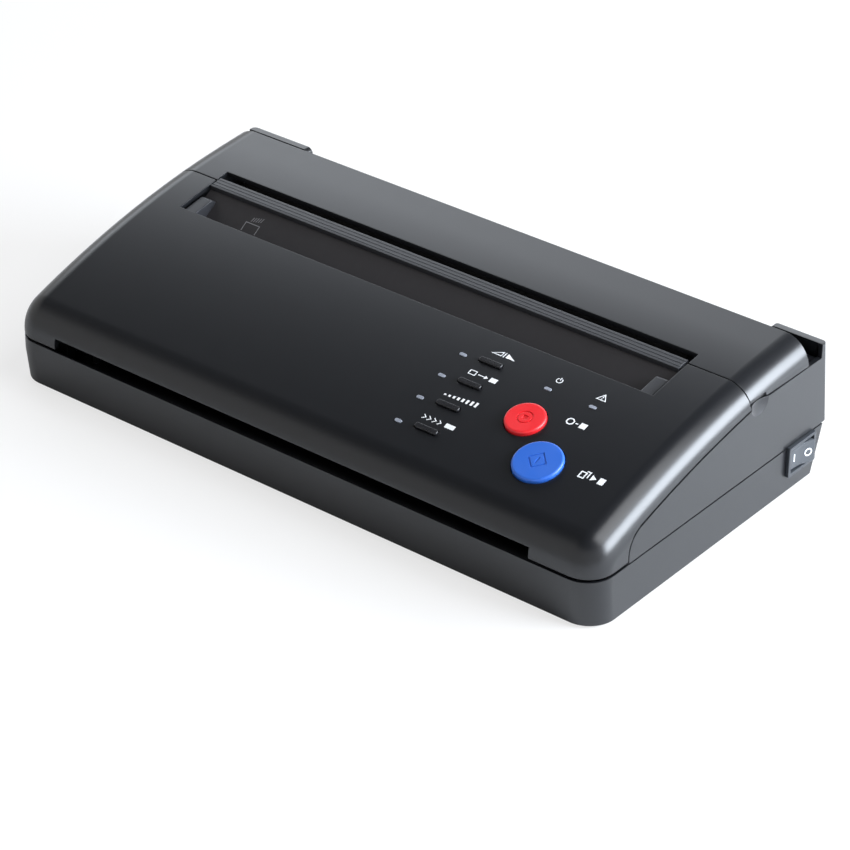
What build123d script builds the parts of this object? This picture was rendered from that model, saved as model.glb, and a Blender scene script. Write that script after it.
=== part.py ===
from build123d import *
import os
from math import asin, atan2, cos, degrees, hypot, pi, radians, sin, sqrt, tan

os.makedirs("parts", exist_ok=True)

# ---------------------------------------------------------------------------
# Driving dimensions, in millimetres. +X is the operator's right, +Y the rear,
# +Z up. The origin is the centre of the footprint on the table.
# Distances named *_from_front are measured back from the front face.
# ---------------------------------------------------------------------------

# Overall form
length = 300.0
depth = 157.0
wall = 2.2
foot_height = 1.2
seam_height = 21.4
side_gap = 0.4
seam_gap = 1.0
seam_line = 0.6
seam_line_depth = 0.8
front_corner_radius = 12.0
rear_corner_radius = 3.5

# Curve of the covers, seen from the side
nose_start = 24.0
nose_radius = 16.0
front_slope = 20.0
crown_radius = 441.0
lid_slope = 4.5
skirt_drop = 10.0
cover_seam_from_front = 101.0
cover_seam_gap = 0.4
lid_rear_inset = 16.7

# Base tray
base_floor = 2.2
base_crease = 15.5
base_front_inset = 1.8
base_rear_top_inset = 3.0
base_rear_bottom_inset = 10.0
rim_chamfer = 1.2
skirt_round = 0.8

# Middle housing
panel_front_from_front = 22.0
panel_corner_radius = 10.0
panel_top = 53.3
rear_lean = 5.8
rear_sill = 48.5
left_ear_length = 33.5
right_ear_length = 25.3
ear_top = 59.4
ear_thickness = 3.4
ear_step = 54.0
ear_round = 2.5
ear_front_from_rear = 7.4

# Openings in the covers
opening_left_margin = 24.3
opening_right_margin = 30.7
lip_from_front = 78.0
stencil_slot_rear_from_front = 108.0
exit_slot_top = 27.6
notch_length = 10.0
notch_height = 1.6
notch_depth = 1.4
scoop_radius = 6.0
scoop_sphere_radius = 12.0

# Ridge and document tray
ridge_front_from_front = 96.5
ridge_depth = 7.0
ridge_height = 2.0
ridge_skirt_bottom = 52.0
ridge_skirt = 1.6
ridge_end_gap = 1.5
ridge_line_width = 0.35
ridge_line_depth = 0.15
ridge_line_pitch = 1.9
ridge_line_count = 3
ridge_side_gap = 0.4
ridge_sink = 0.2
tray_slope = 34.0
tray_thickness = 1.6
tray_wing_rear_from_front = 88.0
tray_end_from_front = 69.0
guide_width = 6.0
guide_front_from_front = 78.8
guide_rear_from_front = 93.0
guide_drop = 1.6
guide_side_gap = 1.2
guide_crown_from_front = 90.0

# Control panel
key_from_right = 97.0
key_length = 10.8
key_width = 2.4
key_rise = 1.0
first_key_from_front = 22.0
key_pitch = 13.4
key_count = 4
lamp_from_right = 110.0
lamp_length = 3.4
lamp_width = 1.6
lamp_rise = 0.25
lamp_ahead_of_key = 1.2
status_lamp_from_front = 61.0
power_lamp_from_right = 68.3
error_lamp_from_right = 46.8
stop_from_right = 65.4
stop_from_front = 43.2
stop_diameter = 16.8
copy_from_right = 47.4
copy_from_front = 27.5
copy_diameter = 20.6
button_rise = 1.6
button_clearance = 0.3
button_flange = 0.9
symbol_depth = 0.35
board_from_right = 28.0
board_width = 95.0
board_front_from_front = 16.0
board_rear_from_front = 68.0
board_drop = 4.0
board_thickness = 1.6
switch_side = 6.0
switch_rise = 2.2
lamp_chip_radius = 1.0

# Rollers, shafts and gears
gear_module = 0.8
gear_face = 4.0
gear_gap = 0.3
tooth_depth = 1.4
motor_teeth = 12
first_idler_teeth = 25
feed_teeth = 26
pressure_teeth = 22
second_idler_teeth = 30
second_idler_small_teeth = 19
third_idler_teeth = 20
platen_teeth = 14
feed_from_front = 60.0
feed_height = 32.5
feed_radius = 6.5
pressure_height = 30.5
pressure_radius = 5.5
platen_from_front = 118.0
platen_height = 55.0
platen_radius = 5.5
shaft_radius = 2.4
bore_clearance = 0.05
motor_reach = 34.35476
motor_height = 20.0
motor_radius = 14.0
motor_length = 20.0
second_idler_angle = 43.0
frame_left_inset = 22.0
frame_right_inset = 26.5
frame_thickness = 2.0
sleeve_length = 34.0
bush_wall = 1.4
bush_collar_thickness = 0.8
platen_bracket_width = 3.0
platen_bracket_length = 11.0
platen_bracket_drop = 3.8
platen_bracket_left_inset = 2.0
platen_bracket_right_inset = 5.0
roller_end_gap = 0.5

# Lid hinge and front cover hinge
lid_axis_from_rear = 8.6
lid_axis_height = 50.2
lid_pin_radius = 1.5
lid_arm_inset = 9.0
lid_arm_thickness = 4.0
lid_arm_height = 5.2
lid_eye_radius = 2.8
cover_axis_from_front = 4.6
cover_axis_height = 26.0
cover_pin_radius = 1.1
knuckle_radius = 2.1
knuckle_inset = 19.5
knuckle_width = 4.0
lug_width = 2.2
lug_gap = 0.3

# Power switch and inlet
switch_from_rear = 19.4
switch_height = 15.2
switch_bezel_length = 19.2
switch_bezel_height = 13.6
switch_bezel_rise = 1.6
switch_bezel_lip = 0.8
switch_body_gap = 0.1
switch_body_depth = 16.0
rocker_length = 14.0
rocker_height = 10.0
rocker_crown = 3.8
rocker_root = 2.6
rocker_dish = 0.9
rocker_tilt = 12.0
rocker_pin_radius = 1.0
rocker_pin_reach = 0.6
rocker_axis_depth = 2.0
inlet_from_left = 58.0
inlet_sill = 2.0
inlet_width = 27.0
inlet_rise = 20.0
inlet_depth = 21.0
inlet_margin = 2.0
inlet_pad_margin = 1.2
inlet_face_thickness = 1.2
inlet_cavity_depth = 19.0
inlet_shell = 1.5
inlet_pin_length = 13.0
inlet_pin_spread = 7.0
inlet_pin_step = 2.0

# Scanner, thermal head and boards
scanner_depth = 18.0
scanner_height = 13.7
glass_thickness = 1.0
glass_below_roller = 0.3
head_depth = 12.0
head_thickness = 1.6
sink_depth = 20.0
sink_height = 11.0
head_gap = 0.3
spring_radius = 3.2
spring_wire = 0.8
spring_turns = 5
bracket_top = 30.0
bracket_thickness = 1.6
spring_spacing = 90.0
path_left_margin = 7.7
path_right_margin = 7.3
frame_front_from_front = 26.0
frame_rear_inset = 20.0
guide_sheet = 1.4
stencil_guide_top = 48.2
board_base_height = 8.0
board_gap = 8.0
main_board_right_inset = 16.0
main_board_rear_inset = 11.0
main_board_depth = 38.0
power_board_left_inset = 6.0
power_board_rear_inset = 25.0
power_board_width = 78.0
power_board_depth = 76.0
screw_radius = 1.5
front_post_inset = 12.0
front_post_from_front = 31.0
rear_post_inset = 10.5
rear_post_from_rear = 36.0
foot_radius = 6.0
foot_inset_x = 16.0
foot_inset_y = 16.0
clearance = 0.3
tiny = 0.01

# ---------------------------------------------------------------------------
# Values worked out from the driving dimensions
# ---------------------------------------------------------------------------

half_length = length / 2
front_face = -depth / 2
base_rear_top_from_front = depth - base_rear_top_inset
base_rear_bottom_from_front = depth - base_rear_bottom_inset
lid_rear_from_front = depth - lid_rear_inset
lid_axis_from_front = depth - lid_axis_from_rear
switch_from_front = depth - switch_from_rear
frame_rear_from_front = depth - frame_rear_inset
opening_left = -half_length + opening_left_margin
opening_right = half_length - opening_right_margin
path_left = opening_left + path_left_margin
path_right = opening_right - path_right_margin
frame_left = -half_length + frame_left_inset
frame_right = half_length - frame_right_inset
key_x = half_length - key_from_right
lamp_x = half_length - lamp_from_right
power_lamp_x = half_length - power_lamp_from_right
error_lamp_x = half_length - error_lamp_from_right
stop_x = half_length - stop_from_right
copy_x = half_length - copy_from_right
board_right = half_length - board_from_right
board_left = board_right - board_width
lid_arm_x = half_length - lid_arm_inset
knuckle_x = half_length - knuckle_inset
inlet_x = -half_length + inlet_from_left
inlet_height = seam_height + inlet_sill + inlet_rise / 2
motor_run = sqrt(motor_reach**2 - (feed_height - motor_height) ** 2)
motor_from_front = feed_from_front + motor_run
cover_bottom = seam_height + seam_gap
inner_floor = foot_height + base_floor


def y_at(from_front):
    """World Y of a distance measured back from the front face."""
    return front_face + from_front


def slope_at(from_front):
    """Slope of the covers' top surface, in degrees, at a distance from the front."""
    crown_start = nose_radius * (1 - sin(radians(front_slope)))
    run = crown_radius * (sin(radians(front_slope)) - sin(radians(lid_slope)))
    if from_front < crown_start:
        return degrees(asin(1 - from_front / nose_radius))
    if from_front < crown_start + run:
        return degrees(asin(sin(radians(front_slope)) - (from_front - crown_start) / crown_radius))
    return lid_slope


def top_height(from_front):
    """Height of the covers' top surface at a distance from the front."""
    crown_start = nose_radius * (1 - sin(radians(front_slope)))
    crown_base = nose_start + nose_radius * cos(radians(front_slope))
    run = crown_radius * (sin(radians(front_slope)) - sin(radians(lid_slope)))
    slope = radians(slope_at(from_front))
    if from_front < crown_start:
        return nose_start + nose_radius * cos(slope)
    height = crown_base + crown_radius * (cos(slope) - cos(radians(front_slope)))
    if from_front > crown_start + run:
        height = height + (from_front - crown_start - run) * tan(radians(lid_slope))
    return height


def rear_face_at(height):
    """Distance from the front of the leaning rear wall's outer face."""
    return depth - (height - seam_height) * tan(radians(rear_lean))


def panel_plane(x, from_front, rise=0.0):
    """Plane lying on the covers' top surface, raised along its normal."""
    slope = radians(slope_at(from_front))
    normal = Vector(0, -sin(slope), cos(slope))
    point = Vector(x, y_at(from_front), top_height(from_front)) + normal * rise
    return Plane(origin=point, x_dir=(1, 0, 0), z_dir=normal)


def pitch_radius(teeth):
    return gear_module * teeth / 2


def meet(first, second, first_distance, second_distance, side):
    """Point at two given distances from two centres, on the chosen side."""
    dy = second[0] - first[0]
    dz = second[1] - first[1]
    span = hypot(dy, dz)
    along = (first_distance**2 - second_distance**2 + span**2) / (2 * span)
    across = side * sqrt(first_distance**2 - along**2)
    y = first[0] + (along * dy + across * dz) / span
    z = first[1] + (along * dz - across * dy) / span
    return (y, z)


# Hinge axes and gear centres as (distance from front, height)
lid_axis = (lid_axis_from_front, lid_axis_height)
cover_axis = (cover_axis_from_front, cover_axis_height)
feed_centre = (feed_from_front, feed_height)
pressure_reach = pitch_radius(feed_teeth) + pitch_radius(pressure_teeth)
pressure_run = sqrt(pressure_reach**2 - (feed_height - pressure_height) ** 2)
pressure_centre = (feed_from_front - pressure_run, pressure_height)
motor_centre = (motor_from_front, motor_height)
platen_centre = (platen_from_front, platen_height)
first_idler_centre = meet(
    feed_centre,
    motor_centre,
    pitch_radius(feed_teeth) + pitch_radius(first_idler_teeth),
    pitch_radius(motor_teeth) + pitch_radius(first_idler_teeth),
    1,
)
second_reach = pitch_radius(motor_teeth) + pitch_radius(second_idler_teeth)
second_idler_centre = (
    motor_from_front + second_reach * cos(radians(second_idler_angle)),
    motor_height + second_reach * sin(radians(second_idler_angle)),
)
third_idler_centre = meet(
    second_idler_centre,
    platen_centre,
    pitch_radius(second_idler_small_teeth) + pitch_radius(third_idler_teeth),
    pitch_radius(third_idler_teeth) + pitch_radius(platen_teeth),
    1,
)

first_gear_x = frame_right + frame_thickness + gear_gap + 0.7
second_gear_x = first_gear_x + gear_face + gear_gap
glass_top = pressure_height - pressure_radius - glass_below_roller
head_top = platen_height - platen_radius - head_gap
platen_bracket_left = opening_left + platen_bracket_left_inset
platen_bracket_right = opening_right - platen_bracket_right_inset - platen_bracket_width
bush_radius = shaft_radius + bore_clearance + bush_wall


def side_plane(x):
    """YZ plane at a given X: local x runs to the rear, local y up."""
    return Plane.YZ.offset(x)


# ---------------------------------------------------------------------------
# Forms shared by the covers and the housing
# ---------------------------------------------------------------------------


def skin_profile(inset, rear_from_front, bottom):
    """Face under the covers' side curve, moved inward by inset."""
    with BuildSketch(Plane.XY, mode=Mode.PRIVATE) as profile:
        with BuildLine():
            front = front_face + inset
            rise = Line((front, bottom), (front, nose_start))
            nose = JernArc(rise @ 1, (0, 1), nose_radius - inset, front_slope - 90)
            crown = JernArc(nose @ 1, nose % 1, crown_radius - inset, lid_slope - front_slope)
            run = y_at(rear_from_front) - (crown @ 1).X
            back = Line(crown @ 1, (crown @ 1) + Vector(run, run * tan(radians(lid_slope))))
            down = Line(back @ 1, ((back @ 1).X, bottom))
            Line(down @ 1, rise @ 0)
        make_face()
    return profile.sketch


def cover_form(inset, rear_from_front, bottom):
    """Solid under the covers, rounded along both shoulders and front corners."""
    half_width = half_length - inset
    with BuildPart(mode=Mode.PRIVATE) as form:
        with BuildSketch(side_plane(-half_width)):
            add(skin_profile(inset, rear_from_front, bottom))
        extrude(amount=2 * half_width)
        rear = y_at(rear_from_front) - 0.1
        shoulders = [
            edge
            for edge in form.edges()
            if abs(abs(edge.center().X) - half_width) < 0.1
            and edge.center().Z > bottom + 0.1
            and edge.center().Y < rear
        ]
        fillet(shoulders, front_corner_radius - inset)
    return form.part


def plan_rectangle(front, rear, inset):
    """Rounded outline of the base, wider corners at the front."""
    with BuildSketch(Plane.XY, mode=Mode.PRIVATE) as outline:
        with BuildLine():
            half_width = half_length - inset
            y_front = y_at(front) + inset
            y_rear = y_at(rear) - inset
            Polyline(
                (-half_width, y_front),
                (half_width, y_front),
                (half_width, y_rear),
                (-half_width, y_rear),
                close=True,
            )
        make_face()
        corners = outline.vertices().group_by(Axis.Y)
        fillet(corners[0], front_corner_radius - inset)
        fillet(corners[-1], rear_corner_radius - inset)
    return outline.sketch


def base_form(inset, floor):
    """Solid of the base: sloped lower band, upright upper band, sloped rear."""
    rear_span = base_rear_top_from_front - base_rear_bottom_from_front
    crease_share = (base_crease - foot_height) / (seam_height - foot_height)
    rear_crease = base_rear_bottom_from_front + rear_span * crease_share
    floor_share = (floor - foot_height) / (base_crease - foot_height)
    front_floor = base_front_inset * (1 - floor_share)
    rear_floor = base_rear_bottom_from_front + (rear_crease - base_rear_bottom_from_front) * floor_share
    with BuildPart(mode=Mode.PRIVATE) as form:
        with BuildSketch(Plane.XY.offset(floor)):
            add(plan_rectangle(front_floor, rear_floor, inset))
        with BuildSketch(Plane.XY.offset(base_crease)):
            add(plan_rectangle(0, rear_crease, inset))
        loft(ruled=True)
        with BuildSketch(Plane.XY.offset(base_crease)):
            add(plan_rectangle(0, rear_crease, inset))
        with BuildSketch(Plane.XY.offset(seam_height)):
            add(plan_rectangle(0, base_rear_top_from_front, inset))
        loft(ruled=True)
    return form.part


def block(x_low, x_high, front, rear, z_low, z_high):
    """Box between two X values, two distances from the front and two heights."""
    box = Box(x_high - x_low, rear - front, z_high - z_low, mode=Mode.PRIVATE)
    return Pos((x_low + x_high) / 2, (y_at(front) + y_at(rear)) / 2, (z_low + z_high) / 2) * box


def rod(x_low, x_high, centre, radius):
    """Cylinder along X at a (distance from front, height) centre."""
    cylinder = Cylinder(radius, x_high - x_low, mode=Mode.PRIVATE)
    return Pos((x_low + x_high) / 2, y_at(centre[0]), centre[1]) * Rot(0, 90, 0) * cylinder


def plate_in_side_view(points, x_low, x_high):
    """Plate whose outline is given in (distance from front, height) points."""
    with BuildPart(mode=Mode.PRIVATE) as plate:
        with BuildSketch(side_plane(x_low)):
            with BuildLine():
                Polyline([(y_at(p[0]), p[1]) for p in points], close=True)
            make_face()
        extrude(amount=x_high - x_low)
    return plate.part


def gear_blank(teeth, x_low, face, bore):
    """Spur gear along X: a toothed rim, a thin web and a hub, at the origin."""
    tip = pitch_radius(teeth) - gear_gap / 2
    root = tip - tooth_depth
    tooth_angle = 360 / teeth
    half_root = 0.29 * pi * 2 * root / teeth
    half_tip = 0.15 * pi * 2 * tip / teeth
    with BuildPart(mode=Mode.PRIVATE) as gear:
        with BuildSketch(Plane.YZ.offset(x_low)):
            Circle(root)
            with PolarLocations(0, teeth, start_angle=tooth_angle / 2):
                with BuildLine(mode=Mode.PRIVATE) as tooth:
                    Polyline(
                        (root - 0.3, -half_root),
                        (tip, -half_tip),
                        (tip, half_tip),
                        (root - 0.3, half_root),
                        close=True,
                    )
                add(make_face(tooth.line.edges(), mode=Mode.PRIVATE))
            Circle(bore, mode=Mode.SUBTRACT)
        extrude(amount=face)
    return gear.part


def span(first, second):
    """Two X values in rising order."""
    return (min(first, second), max(first, second))


def sheet_side(points, reach):
    """Line of (distance from front, height) points moved sideways by reach, mitred at the bends."""
    moved = []
    last = len(points) - 1
    for index, point in enumerate(points):
        before = points[max(index, 1) - 1]
        corner = points[max(index, 1)]
        after = points[min(index, last - 1) + 1]
        foot = points[min(index, last - 1)]
        arriving = Vector(corner[0] - before[0], corner[1] - before[1]).normalized()
        leaving = Vector(after[0] - foot[0], after[1] - foot[1]).normalized()
        share = reach / (1 + arriving.dot(leaving))
        across = Vector(arriving.Y + leaving.Y, -arriving.X - leaving.X) * share
        moved.append((point[0] + across.X, point[1] + across.Y))
    return moved


def bent_sheet(points, thickness, x_low, x_high):
    """Sheet along X whose middle follows a line of (distance from front, height) points."""
    near_side = sheet_side(points, thickness / 2)
    far_side = sheet_side(points, -thickness / 2)
    return plate_in_side_view(near_side + far_side[::-1], x_low, x_high)


def placed(shape, centre):
    """Moves a shape built at the origin to a gear centre."""
    return Pos(0, y_at(centre[0]), centre[1]) * shape


outer_form = cover_form(0.0, lid_rear_from_front, cover_bottom)
inner_form = cover_form(wall, lid_rear_from_front + wall, cover_bottom - wall)

cover_end = cover_seam_from_front - cover_seam_gap / 2
lid_start = cover_seam_from_front + cover_seam_gap / 2
beyond = 2 * length

# Side panel outline: concentric with the covers' curve, skirt_drop below it
with BuildSketch(Plane.XY) as panel_outline:
    add(skin_profile(skirt_drop, lid_rear_from_front, seam_height))
    with Locations((y_at(0) + panel_front_from_front / 2, seam_height)):
        Rectangle(panel_front_from_front, beyond, mode=Mode.SUBTRACT)
    with Locations((y_at(lid_start) + beyond / 2, seam_height)):
        Rectangle(beyond, beyond, mode=Mode.SUBTRACT)
    nose_corner = panel_outline.vertices().group_by(Axis.X)[0].sort_by(Axis.Y)[-1]
    fillet(nose_corner, panel_corner_radius)
panel_face = panel_outline.sketch


def panel_cutter(gap):
    """Room that the front cover leaves for the side panels."""
    with BuildPart(mode=Mode.PRIVATE) as cutter:
        with BuildSketch(side_plane(-half_length - wall)):
            add(panel_face)
            offset(amount=gap)
        extrude(amount=length + 2 * wall)
    return cutter.part


# ---------------------------------------------------------------------------
# Casings
# ---------------------------------------------------------------------------

screw_posts = [
    (-half_length + front_post_inset, front_post_from_front),
    (half_length - front_post_inset, front_post_from_front),
    (-half_length + rear_post_inset, depth - rear_post_from_rear),
    (half_length - rear_post_inset, depth - rear_post_from_rear),
]
post_radius = 4.0
screw_head_radius = 3.0
screw_head_height = 2.4
post_split = 13.0
post_reach = 18.0
screw_length = 20.0

with BuildPart() as base_tray:
    add(base_form(0.0, foot_height))
    add(base_form(wall, inner_floor), mode=Mode.SUBTRACT)
    for x, from_front in screw_posts:
        with Locations((x, y_at(from_front), (foot_height + post_split) / 2)):
            Cylinder(post_radius, post_split - foot_height)
    for x, from_front in screw_posts:
        with Locations((x, y_at(from_front), foot_height)):
            Cylinder(screw_radius + clearance, 2 * post_split, mode=Mode.SUBTRACT)
            Cylinder(screw_head_radius + clearance, 2 * (screw_head_height + clearance), mode=Mode.SUBTRACT)
    front_rim = [
        edge
        for edge in base_tray.edges().filter_by_position(Axis.Z, seam_height - tiny, seam_height + tiny)
        if edge.center().Y < y_at(wall + 0.5) and abs(edge.center().Y - y_at(wall)) < 0.3
    ]
    chamfer(front_rim, rim_chamfer)
    for side in (-1, 1):
        knuckle_low = side * knuckle_x - knuckle_width / 2
        knuckle_high = side * knuckle_x + knuckle_width / 2
        post_front = cover_axis_from_front + 5.4
        post_rear = post_front + 4.0
        post_top = cover_axis_height + 1.4
        add(block(knuckle_low, knuckle_high, post_front, post_rear, inner_floor - 0.5, post_top))
        add(
            block(
                knuckle_low,
                knuckle_high,
                cover_axis_from_front,
                post_rear,
                cover_axis_height - 1.4,
                post_top,
            )
        )
        add(rod(knuckle_low, knuckle_high, cover_axis, knuckle_radius))
        add(
            rod(
                knuckle_low - 1,
                knuckle_high + 1,
                cover_axis,
                cover_pin_radius + bore_clearance,
            ),
            mode=Mode.SUBTRACT,
        )
    switch_cut = block(
        half_length - 2 * wall,
        half_length + 1,
        switch_from_front - switch_bezel_length / 2 + switch_bezel_lip,
        switch_from_front + switch_bezel_length / 2 - switch_bezel_lip,
        switch_height - switch_bezel_height / 2 + switch_bezel_lip,
        switch_height + switch_bezel_height / 2 - switch_bezel_lip,
    )
    add(switch_cut, mode=Mode.SUBTRACT)
base_tray.part.label = "base_tray"

with BuildPart() as middle_housing:
    for side in (-1, 1):
        panel_x = half_length - wall if side > 0 else -half_length
        ear_front = depth - ear_front_from_rear
        with BuildSketch(side_plane(panel_x)):
            add(panel_face)
            with BuildLine():
                Polyline(
                    (y_at(lid_start), seam_height),
                    (y_at(depth), seam_height),
                    (y_at(rear_face_at(ear_top)), ear_top),
                    (y_at(ear_front), ear_top),
                    (y_at(ear_front), panel_top),
                    (y_at(lid_start), panel_top),
                    close=True,
                )
            make_face()
        extrude(amount=wall)
    for side, ear_length in ((-1, left_ear_length), (1, right_ear_length)):
        ear_inner = side * (half_length - ear_length)
        ear_low, ear_high = span(ear_inner, side * half_length)
        for ear_foot, thickness in ((seam_height, wall), (ear_step, ear_thickness)):
            add(
                plate_in_side_view(
                    [
                        (rear_face_at(ear_foot) - thickness, ear_foot),
                        (rear_face_at(ear_foot), ear_foot),
                        (rear_face_at(ear_top), ear_top),
                        (rear_face_at(ear_top) - thickness, ear_top),
                    ],
                    ear_low,
                    ear_high,
                )
            )
    ear_corners = [
        edge
        for edge in middle_housing.edges().filter_by_position(Axis.Z, ear_top - tiny, ear_top + tiny)
        if abs(edge.bounding_box().size.X) < tiny and abs(edge.center().X) < half_length - 2 * wall
    ]
    fillet(ear_corners, ear_round)
    add(
        plate_in_side_view(
            [
                (rear_face_at(seam_height) - wall, seam_height),
                (rear_face_at(seam_height), seam_height),
                (rear_face_at(rear_sill), rear_sill),
                (rear_face_at(rear_sill) - wall, rear_sill),
            ],
            -half_length,
            half_length,
        )
    )
    rear_corners = [
        edge
        for edge in middle_housing.edges()
        if abs(abs(edge.center().X) - half_length) < tiny
        and abs(edge.center().Y - y_at(rear_face_at(edge.center().Z))) < tiny
        and edge.bounding_box().size.Z > wall
    ]
    fillet(rear_corners, wall - 0.1)
    inlet_pad = block(
        inlet_x - inlet_width / 2 - inlet_margin - inlet_pad_margin,
        inlet_x + inlet_width / 2 + inlet_margin + inlet_pad_margin,
        rear_face_at(inlet_height + inlet_rise / 2) - wall,
        depth,
        seam_height,
        inlet_height + inlet_rise / 2 + inlet_margin / 2 + inlet_pad_margin,
    )
    add(inlet_pad)
    line_top = seam_height + seam_line
    for side in (-1, 1):
        line_low, line_high = span(side * (half_length - seam_line_depth), side * (half_length + 1))
        add(block(line_low, line_high, 0, depth + 1, seam_height, line_top), mode=Mode.SUBTRACT)
    line_front = depth - seam_line_depth
    add(block(-half_length, half_length, line_front, depth + 1, seam_height, line_top), mode=Mode.SUBTRACT)
    for side in (-1, 1):
        inner_side = side * (half_length - wall)
        boss_end = side * (lid_arm_x + lid_arm_thickness / 2 + clearance)
        boss = span(inner_side + side * 0.5, boss_end)
        boss_bore = span(inner_side, boss_end - side)
        add(rod(boss[0], boss[1], lid_axis, lid_eye_radius))
        add(rod(boss_bore[0], boss_bore[1], lid_axis, lid_pin_radius), mode=Mode.SUBTRACT)
        scoop_centre_x = half_length + sqrt(scoop_sphere_radius**2 - scoop_radius**2)
        with Locations(
            (
                side * scoop_centre_x,
                y_at(lid_start + notch_length / 2),
                panel_top,
            )
        ):
            Sphere(scoop_sphere_radius, mode=Mode.SUBTRACT)
    for x, from_front in screw_posts:
        side = 1 if x > 0 else -1
        wall_side = side * (half_length - wall / 2)
        post_top = post_split + post_reach
        with Locations((x, y_at(from_front), (post_split + clearance + post_top) / 2)):
            Cylinder(post_radius, post_top - post_split - clearance)
        add(
            block(
                min(x, wall_side),
                max(x, wall_side),
                from_front - 1.5,
                from_front + 1.5,
                seam_height + 2,
                post_top,
            )
        )
        with Locations((x, y_at(from_front), post_split)):
            Cylinder(screw_radius, 24.0, mode=Mode.SUBTRACT)
    add(
        block(
            inlet_x - inlet_width / 2,
            inlet_x + inlet_width / 2,
            rear_face_at(rear_sill) - 2 * wall,
            depth + 1,
            inlet_height - inlet_rise / 2,
            inlet_height + inlet_rise / 2,
        ),
        mode=Mode.SUBTRACT,
    )
middle_housing.part.label = "middle_housing"

with BuildPart() as front_cover:
    add(outer_form)
    add(inner_form, mode=Mode.SUBTRACT)
    behind_cover = block(-half_length - 1, half_length + 1, cover_end, depth + wall, 0, 2 * ear_top)
    add(behind_cover, mode=Mode.SUBTRACT)
    add(panel_cutter(side_gap), mode=Mode.SUBTRACT)
    add(
        block(opening_left, opening_right, lip_from_front, depth, skirt_drop + seam_height, 2 * ear_top),
        mode=Mode.SUBTRACT,
    )
    add(block(opening_left, opening_right, -1, wall + nose_radius / 2, 0, exit_slot_top), mode=Mode.SUBTRACT)
    for x, from_front, diameter in (
        (stop_x, stop_from_front, stop_diameter),
        (copy_x, copy_from_front, copy_diameter),
    ):
        with Locations(panel_plane(x, from_front)):
            Cylinder(diameter / 2 + button_clearance, 3 * wall, mode=Mode.SUBTRACT)
    for index in range(key_count):
        from_front = first_key_from_front + index * key_pitch
        with BuildSketch(panel_plane(key_x, from_front, wall)):
            RectangleRounded(key_length + 2 * button_clearance, key_width + 2 * button_clearance, 1.2)
        extrude(amount=-3 * wall, mode=Mode.SUBTRACT)
        with BuildSketch(panel_plane(lamp_x, from_front - lamp_ahead_of_key, wall)):
            SlotOverall(lamp_length, lamp_width)
        extrude(amount=-3 * wall, mode=Mode.SUBTRACT)
    for x in (power_lamp_x, error_lamp_x):
        with BuildSketch(panel_plane(x, status_lamp_from_front, wall)):
            SlotOverall(lamp_length, lamp_width)
        extrude(amount=-3 * wall, mode=Mode.SUBTRACT)
    skirt_edges = [
        edge
        for edge in front_cover.edges().filter_by_position(Axis.Z, cover_bottom - tiny, cover_bottom + tiny)
        if abs(edge.center().Y - front_face) < tiny
        or (edge.geom_type == GeomType.CIRCLE and abs(edge.radius - front_corner_radius) < tiny)
    ]
    fillet(skirt_edges, skirt_round)
    for side in (-1, 1):
        for lug_side in (-1, 1):
            lug_centre = side * knuckle_x + lug_side * (knuckle_width / 2 + lug_gap + lug_width / 2)
            lug_low = lug_centre - lug_width / 2
            lug_high = lug_centre + lug_width / 2
            add(rod(lug_low, lug_high, cover_axis, knuckle_radius))
            add(
                block(
                    lug_low,
                    lug_high,
                    wall - 0.4,
                    cover_axis_from_front,
                    cover_axis_height - knuckle_radius + 0.2,
                    cover_axis_height + knuckle_radius,
                )
            )
            add(
                rod(lug_low - 0.1, lug_high + 0.1, cover_axis, cover_pin_radius),
                mode=Mode.SUBTRACT,
            )
front_cover.part.label = "front_cover"

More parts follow.
